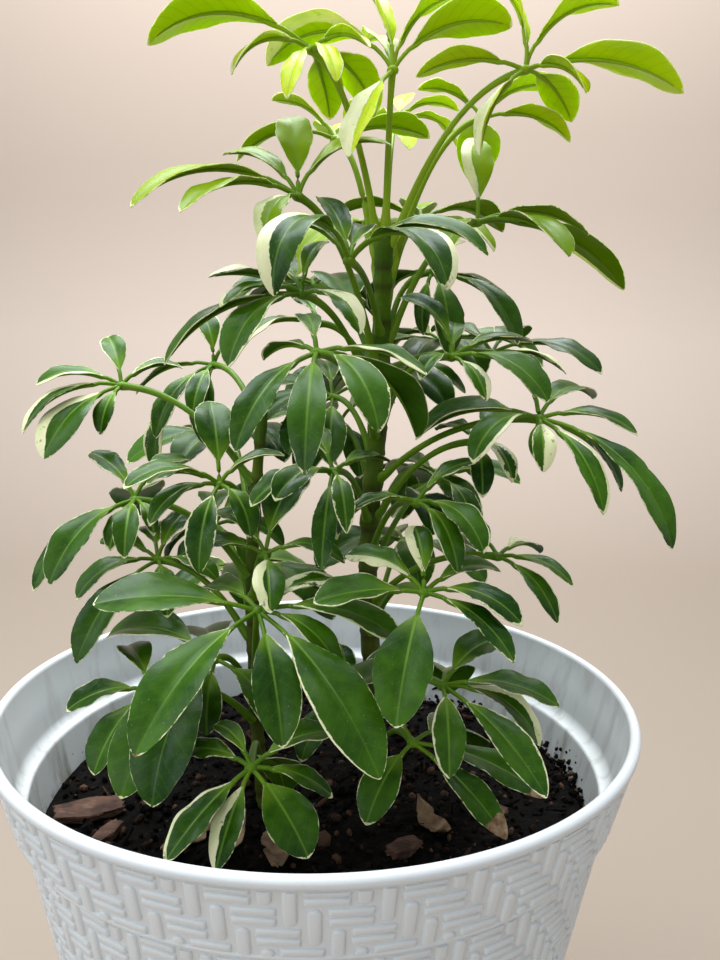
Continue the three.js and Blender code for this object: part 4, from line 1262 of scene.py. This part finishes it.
# %% The shell
def turned(profile, sides, name):
    """A closed body of revolution: a disc at the first ring, then one extrusion for each ring after it."""
    rings = profile * METRES
    bpy.ops.object.select_all(action="DESELECT")
    underside = POT_HEIGHT * METRES - rings[0][1]
    bpy.ops.mesh.primitive_circle_add(
        vertices=sides, radius=rings[0][0], fill_type="NGON", location=(0, 0, underside))
    bpy.ops.object.transform_apply(location=True)
    piece = bpy.context.object
    piece.name = name
    bpy.ops.object.mode_set(mode="EDIT")
    for (radius, depth), (new_radius, new_depth) in zip(rings, rings[1:]):
        bpy.ops.mesh.extrude_region_move(TRANSFORM_OT_translate={"value": (0, 0, depth - new_depth)})
        grow_by = new_radius / radius
        bpy.ops.transform.resize(value=(grow_by, grow_by, 1))
    close_edit()
    return piece


def dress_pot():
    shell = turned(pot_profile(), POT_SIDES, "pot_shell")
    smooth(shell, 50)
    set_finishes(shell, pot_plastic, pot_inside_painted_lighter)
    for face in shell.data.polygons:
        spot = face.center / METRES
        facing_in = face.normal.x * spot.x + face.normal.y * spot.y < 0
        if math.hypot(spot.x, spot.y) < LIP_MIDDLE and facing_in and spot.z > ABOVE_UNDERSIDE:
            face.material_index = 1
    return show_as(shell, "plastic", "pot")


pot_shell = dress_pot()
print("the pot's shell has", len(pot_shell.data.polygons), "faces and is",
      [round(1000 * c) for c in pot_shell.dimensions], "mm")

# %% [markdown]
# ## The woven relief
# The pot imitates basketwork: pairs of thin level bars, two columns wide, with an upright bar beside each
# pair, and every row sits one column further on. Twenty-nine such repeats go round. Displacing the shell
# would need millions of faces for crisp bars. So one bar is modelled, twelve make a square repeat of four
# by four, two Array modifiers spread it flat, Bisect trims it, and a formula wraps the sheet round the
# cone.

# %% One bar
COLUMNS = 116
COLUMN_DEGREES = 360 / COLUMNS
COLUMN_WIDTH = 7.8
FIRST_COLUMN = 0.89
ROW_PITCH = 8.6
FIRST_ROW = 3.8
LEVEL_BAR = {"length": 14.9, "width": 3.55, "corner": 0.7}
UPRIGHT_BAR = {"length": 4.9, "width": 15.6, "corner": 2.3}
BAR_PROFILE = [[0, 0], [0.15, 0.8], [0.6, 1.25], [1.2, 1.4]]


def bar_pattern(sides):
    """A stack of rings: the floor of a bar and three more on top of it, one unit apart."""
    bpy.ops.object.select_all(action="DESELECT")
    bpy.ops.mesh.primitive_circle_add(vertices=sides, radius=1, fill_type="NGON")
    bar = bpy.context.object
    bpy.ops.object.mode_set(mode="EDIT")
    for _ in BAR_PROFILE[1:]:
        bpy.ops.mesh.extrude_region_move(TRANSFORM_OT_translate={"value": (0, 0, 1)})
    close_edit()
    return bar


def flat_bar(pattern, column, row, bar):
    """A copy of the pattern as a rounded rectangle in the flat repeat, which is in columns and rows."""
    points = points_of(pattern)
    sides = len(points) // len(BAR_PROFILE)
    turn = np.arctan2(points[:, 1], points[:, 0]) + math.pi / sides
    inset, height = np.array(BAR_PROFILE)[np.rint(points[:, 2]).astype(int)].T
    core = np.maximum(bar["corner"], inset)
    round_part = np.maximum(bar["corner"] - inset, 0)
    shape = []
    for size, part in ((bar["length"], np.cos(turn)), (bar["width"], np.sin(turn))):
        shape.append(np.sign(part) * (size / 2 - core) + round_part * part)
    piece = copy_of(pattern, "bar")
    place_points(piece, np.column_stack(
        [column + shape[0] / COLUMN_WIDTH, row + shape[1] / ROW_PITCH, height]), scale=1)
    return piece


# %% The flat repeat and the sheet
def weave_repeat():
    """Twelve bars on a square of four columns and four rows. Rows run down, so y is less than 0."""
    few, more = bar_pattern(8), bar_pattern(12)
    bars = []
    for row in range(4):
        for column in range(4):
            phase = (column - row) % 4
            if phase == 0:
                for step in (0.26, 0.74):
                    bars.append(flat_bar(few, column + 1, -(row + step), LEVEL_BAR))
            if phase == 3:
                bars.append(flat_bar(more, column + 0.5, -(row + 1), UPRIGHT_BAR))
    for pattern in (few, more):
        bpy.data.objects.remove(pattern)
    return joined(bars, "weave")


def trim(piece, level, keep_above):
    """Cuts a flat sheet straight across at a row and closes the cut bars."""
    only(piece)
    bpy.ops.object.mode_set(mode="EDIT")
    bpy.ops.mesh.select_all(action="SELECT")
    bpy.ops.mesh.bisect(plane_co=(0, -level, 0), plane_no=(0, 1, 0), use_fill=True,
                        clear_inner=keep_above, clear_outer=not keep_above)
    bpy.ops.object.mode_set(mode="OBJECT")


def woven(name, first_depth, last_depth, radius_at):
    """The sheet between two depths, wrapped round the pot at the radius of its ground."""
    sheet = weave_repeat()
    top = (first_depth - FIRST_ROW) / ROW_PITCH
    bottom = (last_depth - FIRST_ROW) / ROW_PITCH
    above = 4 * math.floor(top / 4) - 4
    repeats_down = math.ceil((bottom - above) / 4) + 1
    for count, step in ((COLUMNS // 4, (4, 0, 0)), (repeats_down, (0, -4, 0))):
        apply_modifier(sheet, "ARRAY", count=count, use_relative_offset=False, use_constant_offset=True,
                       constant_offset_displace=step)
    place_points(sheet, points_of(sheet) - [0, above, 0], scale=1)
    trim(sheet, top, False)
    trim(sheet, bottom, True)
    points = points_of(sheet)
    depth = FIRST_ROW - points[:, 1] * ROW_PITCH
    turn = np.radians(FIRST_COLUMN + points[:, 0] * COLUMN_DEGREES)
    radius = radius_at(depth) - GROUND_BACK - 0.15 + points[:, 2]
    place_points(sheet, np.stack(
        [radius * np.sin(turn), -radius * np.cos(turn), POT_HEIGHT - depth], axis=-1))
    sheet.name = name
    set_finishes(sheet, pot_plastic)
    smooth(sheet, 65)
    return show_as(sheet, "plastic")


for name, first, last, radius_at in (
        ("collar_weave", LIP_DEPTH + 0.7, COLLAR_DEPTH - 1.4, collar_radius),
        ("body_weave", STEP_DEPTH + 1.2, POT_HEIGHT - 5, body_radius)):
    sheet = woven(name, first, last, radius_at)
    print(name, "has", len(sheet.data.polygons), "faces")

# %% [markdown]
# ## Soil
# Potting soil is nearly black when wet, with crumbs, bits of bark and fibres. A displaced disc gives the
# lumps, and loose crumbs on it break up its outline. Against the right wall crumbs have dried on above the
# soil.


# %% Soil finish
def soil_finish():
    finish = Finish("soil_dark", {"IOR": 1.16})
    where = finish.place()
    lump = finish.noise(where, 160, 5, 0.7)
    grit = finish.noise(where, 900, 3)
    dark = finish.blend(lump.past(0.42, 0.25), (0.0015, 0.0013, 0.0012), (0.009, 0.007, 0.006))
    dark = finish.blend(grit.past(0.66, 0.08) * 0.6, dark, (0.05, 0.034, 0.024))
    colour = finish.blend(finish.value("bark_bit"), dark, (0.13, 0.072, 0.045))
    return finish.surface(colour, 0.62 + lump * 0.3, finish.bump(lump + grit * 0.6, 0.0014, 0.8))


soil_dark = soil_finish()

# %% Soil bed
SOIL_GRID = 170
SOIL_BOTTOM, SOIL_GAP = 4.3, 0.45


def inner_wall_at(z):
    slope = (SHOULDER_RADIUS - BASE_RADIUS) / (POT_HEIGHT - STEP_DEPTH)
    inner_base = BASE_RADIUS + FLOOR_THICKNESS * slope - POT_WALL
    share = (z - FLOOR_THICKNESS) / (POT_HEIGHT - LEDGE_DEPTH - FLOOR_THICKNESS)
    return inner_base + share * (INNER_SHOULDER - inner_base)


def soil_height(x, y):
    mound = 3 * (1 - (x * x + y * y) / (130 * 130))
    return SOIL_TOP + mound + 0.5 * np.sin(x * 0.07 + 1) * np.cos(y * 0.06)


def lumps(x, y):
    """Relief of the soil over its smooth height: clods, then crumbs."""
    clod = noise.fractal(Vector((x * 0.045, y * 0.045, 3.0)), 0.8, 2.1, 4)
    crumb = noise.fractal(Vector((x * 0.22, y * 0.22, 9.0)), 0.7, 2.2, 3)
    return 2.1 * clod + 1.1 * crumb


def dress_soil():
    bpy.ops.object.select_all(action="DESELECT")
    bpy.ops.mesh.primitive_grid_add(x_subdivisions=SOIL_GRID, y_subdivisions=SOIL_GRID, size=2)
    soil = bpy.context.object
    soil.name = "soil_bed"
    square = points_of(soil)
    larger = np.maximum(np.abs(square[:, 0]), np.abs(square[:, 1]))
    length = np.hypot(square[:, 0], square[:, 1])
    edge = inner_wall_at(SOIL_TOP) - SOIL_GAP
    disc = square[:, :2] * (larger / np.maximum(length, 1e-9) * edge)[:, None]
    relief = np.array([lumps(x, y) for x, y in disc])
    height = soil_height(disc[:, 0], disc[:, 1]) + relief * np.clip((edge - larger * edge) / 6, 0.25, 1)
    place_points(soil, np.column_stack([disc, height]))
    bpy.ops.object.mode_set(mode="EDIT")
    bpy.ops.mesh.select_all(action="SELECT")
    bpy.ops.mesh.region_to_loop()
    drop = (SOIL_TOP - SOIL_BOTTOM) * METRES
    bpy.ops.mesh.extrude_region_move(TRANSFORM_OT_translate={"value": (0, 0, -drop)})
    narrow = (inner_wall_at(SOIL_BOTTOM) - SOIL_GAP) / edge
    bpy.ops.transform.resize(value=(narrow, narrow, 0))
    bpy.ops.mesh.edge_face_add()
    close_edit()
    smooth(soil, 70)
    set_finishes(soil, soil_dark)
    return show_as(soil, "soil", "soil")


soil_bed = dress_soil()
print("the soil has", len(soil_bed.data.polygons), "faces")


# %% [markdown]
# ## Crumbs
# A crumb is a squashed twenty-sided ball. Thousands of them would be slow as objects, so the points of the
# one pattern are repeated with numpy, each time turned, stretched and moved, into a single mesh.


# %% Crumbs
def repeated(pattern, name, frames):
    """One mesh with a copy of the pattern for each frame, a 3 by 4 matrix in millimetres."""
    points = points_of(pattern)
    faces = np.array([list(face.vertices) for face in pattern.data.polygons])
    every = np.einsum("nij,vj->nvi", frames[:, :, :3], points) + frames[:, None, :, 3]
    shifts = (np.arange(len(frames)) * len(points)).reshape(-1, 1, 1)
    mesh = bpy.data.meshes.new(name)
    every_face = (faces[None] + shifts).reshape(-1, faces.shape[1])
    mesh.from_pydata((every.reshape(-1, 3) * METRES).tolist(), [], every_face.tolist())
    piece = bpy.data.objects.new(name, mesh)
    bpy.context.scene.collection.objects.link(piece)
    return piece


def random_turns(chance, count):
    """Random rotation matrices, from random unit quaternions."""
    q = chance.normal(size=(count, 4))
    w, x, y, z = (q / np.linalg.norm(q, axis=1, keepdims=True)).T
    return np.stack([
        np.stack([1 - 2 * (y * y + z * z), 2 * (x * y - z * w), 2 * (x * z + y * w)], -1),
        np.stack([2 * (x * y + z * w), 1 - 2 * (x * x + z * z), 2 * (y * z - x * w)], -1),
        np.stack([2 * (x * z - y * w), 2 * (y * z + x * w), 1 - 2 * (x * x + y * y)], -1),
    ], 1)


def crumb_frames(chance, spots, sizes):
    """Turns and stretches for crumbs: one in eight is a splinter."""
    count = len(spots)
    stretch = chance.uniform(0.6, 1.4, (count, 1, 3)) * sizes[:, None, None]
    stretch[chance.random(count) < SPLINTER_SHARE] *= SPLINTER_STRETCH
    return np.concatenate([random_turns(chance, count) * stretch, spots[:, :, None]], axis=2)


CRUMBS, WALL_CRUMBS = 2600, 420
SPLINTER_SHARE, SPLINTER_STRETCH = 0.12, [3.2, 0.5, 0.5]


def dress_crumbs():
    bpy.ops.object.select_all(action="DESELECT")
    bpy.ops.mesh.primitive_ico_sphere_add(subdivisions=1, radius=1)
    pattern = bpy.context.object
    chance = np.random.default_rng(31)
    edge = inner_wall_at(SOIL_TOP) - 3.5
    r = edge * np.sqrt(chance.random(CRUMBS))
    turn = chance.uniform(0, 2 * math.pi, CRUMBS)
    x, y = r * np.cos(turn), r * np.sin(turn)
    sizes = chance.gamma(3.0, 0.32, CRUMBS) + 0.45
    top = soil_height(x, y) + [lumps(a, b) for a, b in zip(x, y)]
    bed = np.column_stack([x, y, top + sizes * 0.25])
    turn = chance.normal(0.15, 0.55, WALL_CRUMBS)
    climb = chance.exponential(4.2, WALL_CRUMBS) * (0.6 + 0.4 * np.sin(turn * 9))
    z = SOIL_TOP + np.clip(climb, 0, 15)
    small = chance.uniform(0.5, 1.5, WALL_CRUMBS)
    r = inner_wall_at(z) - small * 1.1
    wall = np.column_stack([r * np.cos(turn), r * np.sin(turn), z])
    frames = crumb_frames(chance, np.concatenate([bed, wall]), np.concatenate([sizes, small]))
    crumbs = repeated(pattern, "soil_crumbs", frames)
    bark_bits = chance.random(len(frames)) ** 6
    carry(crumbs, "bark_bit", np.repeat(bark_bits, len(pattern.data.vertices)))
    bpy.data.objects.remove(pattern)
    set_finishes(crumbs, soil_dark)
    return show_as(crumbs, "soil")


dress_crumbs()


# %% [markdown]
# ## Litter
# Old leaflets dry brown, curl and tear, and the soil is mulched with bark. The dry leaves are the blade
# pattern again, crumpled. A chip is a block that is cut finely and split along its grain by noise.


# %% Litter finishes
def dry_leaf_finish():
    finish = Finish("dry_leaf_brown", {"IOR": 1.4})
    where = finish.place()
    blotch = finish.noise(where, 110, 4)
    along = finish.value("along_mm")
    across = finish.value("across_mm")
    veins = (1 - ((along - across.size() * VEIN_SLANT) * (math.pi / 3.4)).sine().size()) ** 5
    brown = finish.blend(blotch.past(0.38, 0.3), (0.11, 0.06, 0.03), (0.36, 0.235, 0.135))
    colour = finish.blend(veins * 0.2, brown, (0.40, 0.28, 0.17))
    return finish.surface(colour, 0.6 + blotch * 0.2, finish.bump(veins * 0.4 + blotch, 0.0006, 0.8))


def chip_finish():
    finish = Finish("bark_chip_brown", {"IOR": 1.4})
    where = finish.place()
    grain = finish.noise(finish.stretched(where, (0.35, 1, 1)), 330, 4)
    blotch = finish.noise(where, 90, 3)
    brown = finish.blend(blotch.past(0.4, 0.3), (0.048, 0.021, 0.012), (0.165, 0.085, 0.056))
    colour = finish.blend(grain.past(0.58, 0.14) * 0.7, brown, (0.26, 0.17, 0.12))
    return finish.surface(colour, 0.7 + blotch * 0.2, finish.bump(grain, 0.0009, 0.9))


dry_brown = dry_leaf_finish()
chip_brown = chip_finish()

# %% Dry leaves and bark chips
# A dry leaf is its x and y, its turn in degrees, its length, width and curl. A chip has all but the curl.
DRY_LEAVES = [
    [-15, -50, 94, 44, 15, 3], [-35, -50, 82, 38, 9, 4], [-54, -46, 60, 36, 14, 3], [54, -34, 110, 32, 12, 6]]
BARK_CHIPS = [[-106, -26, 20, 30, 17], [40, -54, 35, 15, 10], [84, -22, 150, 13, 8], [-92, -44, 70, 16, 8]]
TORN_AWAY = 0.45
CHIP_THICKNESS, CHIP_TAPER, CHIP_ROUGHNESS = 3.5, 0.35, 0.13


def resting_height(x, y, turn, length):
    steps = np.array([-0.5, -0.25, 0, 0.25, 0.5]) * length
    return float(np.max(soil_height(x + steps * math.cos(turn), y + steps * math.sin(turn)))) + 0.45


def dress_dry_leaf(number, row):
    x, y, degrees, length, width, curl = row
    turn = math.radians(degrees)
    across = blade_flat[:, 0]
    along = (blade_flat[:, 1] + 1) / 2
    face = np.sign(blade_flat[:, 2])
    half = np.maximum(0.8, width / 2 * np.sin(math.pi * np.minimum(0.96, along * 0.9 + 0.08)))
    crumple = np.array([noise.noise(Vector((a * 1.6, b * 5, number * 7.3))) for a, b in zip(across, along)])
    arch = curl * 4 * (along - 0.5) ** 2 + np.abs(across * half) * 0.22 + crumple * 1.6
    ahead = (along - 0.5) * length
    torn = np.array([
        noise.noise(Vector((a * 11, math.copysign(4, b), number * 3.1))) for b, a in zip(across, along)])
    side = across * half * (1 - 0.08 * crumple - TORN_AWAY * np.maximum(torn, 0))
    height = resting_height(x, y, turn, length) + 0.9 + np.maximum(arch, -0.5) + face * 0.3
    piece = copy_of(blade_pattern, f"fine_dry_leaf_{number}")
    place_points(piece, np.column_stack([
        x + ahead * math.cos(turn) + side * math.sin(turn),
        y + ahead * math.sin(turn) - side * math.cos(turn),
        height]))
    carry(piece, "along_mm", along * length)
    carry(piece, "across_mm", across * half)
    set_finishes(piece, dry_brown, dry_brown)
    return show_as(piece, "dry_leaf", f"dry_leaf_{number}")


def dress_chip(number, row):
    x, y, degrees, length, width = row
    bpy.ops.object.select_all(action="DESELECT")
    bpy.ops.mesh.primitive_cube_add(size=2)
    piece = bpy.context.object
    bpy.ops.object.mode_set(mode="EDIT")
    bpy.ops.mesh.select_all(action="SELECT")
    bpy.ops.mesh.subdivide(number_cuts=9)
    bpy.ops.object.mode_set(mode="OBJECT")
    piece.name = f"fine_bark_chip_{number}"
    shape = points_of(piece)
    shape[:, 1] *= 1 - CHIP_TAPER * np.abs(shape[:, 0])
    rough = np.array([
        noise.fractal(Vector((x * 1.2, y * 4, z * 2 + number * 5)), 0.8, 2.1, 3) for x, y, z in shape])
    shape = shape * (1 + CHIP_ROUGHNESS * rough[:, None]) * [length / 2, width / 2, CHIP_THICKNESS / 2]
    turn = math.radians(degrees)
    middle = resting_height(x, y, turn, length) + CHIP_THICKNESS / 2
    place_points(piece, np.column_stack([
        x + shape[:, 0] * math.cos(turn) - shape[:, 1] * math.sin(turn),
        y + shape[:, 0] * math.sin(turn) + shape[:, 1] * math.cos(turn),
        middle + shape[:, 2]]))
    smooth(piece, 35)
    set_finishes(piece, chip_brown)
    return show_as(piece, "chip", f"bark_chip_{number}")


for number, row in enumerate(DRY_LEAVES, 1):
    dress_dry_leaf(number, row)
for number, row in enumerate(BARK_CHIPS, 1):
    dress_chip(number, row)

# %% [markdown]
# ## Stage and light
# The plant stands on a pale warm floor that sweeps up into the wall behind it, so no line shows between
# them. Light is soft, as under a bright sky: a large panel overhead that shines through the upper leaves,
# weaker ones at the left and the front, a strip that brightens the wall, and a dim surround.


# %% Stage
def sweep_finish():
    """The floor is painted darker than the wall, as it gets more light."""
    finish = Finish("pale_sweep", {"Roughness": 0.9, "IOR": 1.2})
    depth = finish.part(finish.place(), "Y")
    paint = finish.blend(depth.past(0.1, 1.9) ** 3, (0.315, 0.258, 0.209), (0.665, 0.568, 0.497))
    finish.end({"Base Color": paint})
    return finish.material


FLOOR_HALF = 3.0
WALL_AT, SWEEP_RADIUS, WALL_TOP = 2.1, 0.9, 3.2
UNDER_THE_POT = 0.0004


def sweep_line():
    line = [[-FLOOR_HALF, 0.0]]
    for turn in np.linspace(0, math.pi / 2, 13):
        line.append([
            WALL_AT - SWEEP_RADIUS * (1 - math.sin(turn)), SWEEP_RADIUS * (1 - math.cos(turn))])
    line.append([WALL_AT, WALL_TOP])
    return line


def make_sweep():
    line = sweep_line()
    bpy.ops.object.select_all(action="DESELECT")
    bpy.ops.mesh.primitive_grid_add(x_subdivisions=1, y_subdivisions=len(line) - 1, size=2)
    sweep = bpy.context.object
    sweep.name = "sweep"
    flat = points_of(sweep)
    step = np.rint((flat[:, 1] + 1) / 2 * (len(line) - 1)).astype(int)
    along = np.array(line)[step]
    height = along[:, 1] - UNDER_THE_POT
    place_points(sweep, np.column_stack([flat[:, 0] * FLOOR_HALF, along[:, 0], height]), scale=1)
    smooth(sweep, 60)
    set_finishes(sweep, sweep_finish())


make_sweep()


# %% Lights
def panel(name, spot, aim, size, power, colour):
    light = bpy.data.objects.new(name, bpy.data.lights.new(name, "AREA"))
    light.data.shape = "RECTANGLE"
    light.data.size, light.data.size_y = size
    light.data.energy = power
    light.data.color = colour
    light.location = spot
    light.rotation_mode = "QUATERNION"
    light.rotation_quaternion = (Vector(aim) - Vector(spot)).to_track_quat("-Z", "Y")
    bpy.context.scene.collection.objects.link(light)


PLANT_MIDDLE = (0, 0, 0.38)
panel("sky_panel", (-0.08, 0.28, 1.5), PLANT_MIDDLE, (1.4, 1.0), 38, (0.88, 0.95, 1.0))
panel("left_fill", (-1.4, -0.3, 1.2), PLANT_MIDDLE, (1.0, 1.0), 6, (0.88, 0.95, 1.0))
panel("front_fill", (-0.7, -1.5, 0.8), PLANT_MIDDLE, (1.2, 1.0), 7, (0.88, 0.95, 1.0))
panel("wall_wash", (0.0, 1.2, 2.3), (0, 2.1, 1.0), (2.6, 0.3), 32, (1.0, 0.98, 0.95))

world = bpy.data.worlds.new("surround")
world.use_nodes = True
world.node_tree.nodes["Background"].inputs["Color"].default_value = (0.93, 0.965, 1.0, 1)
world.node_tree.nodes["Background"].inputs["Strength"].default_value = 0.5
bpy.context.scene.world = world

# %% The patterns go
for pattern in (blade_pattern, rib_pattern, stalk_pattern, hub_pattern):
    bpy.data.objects.remove(pattern)
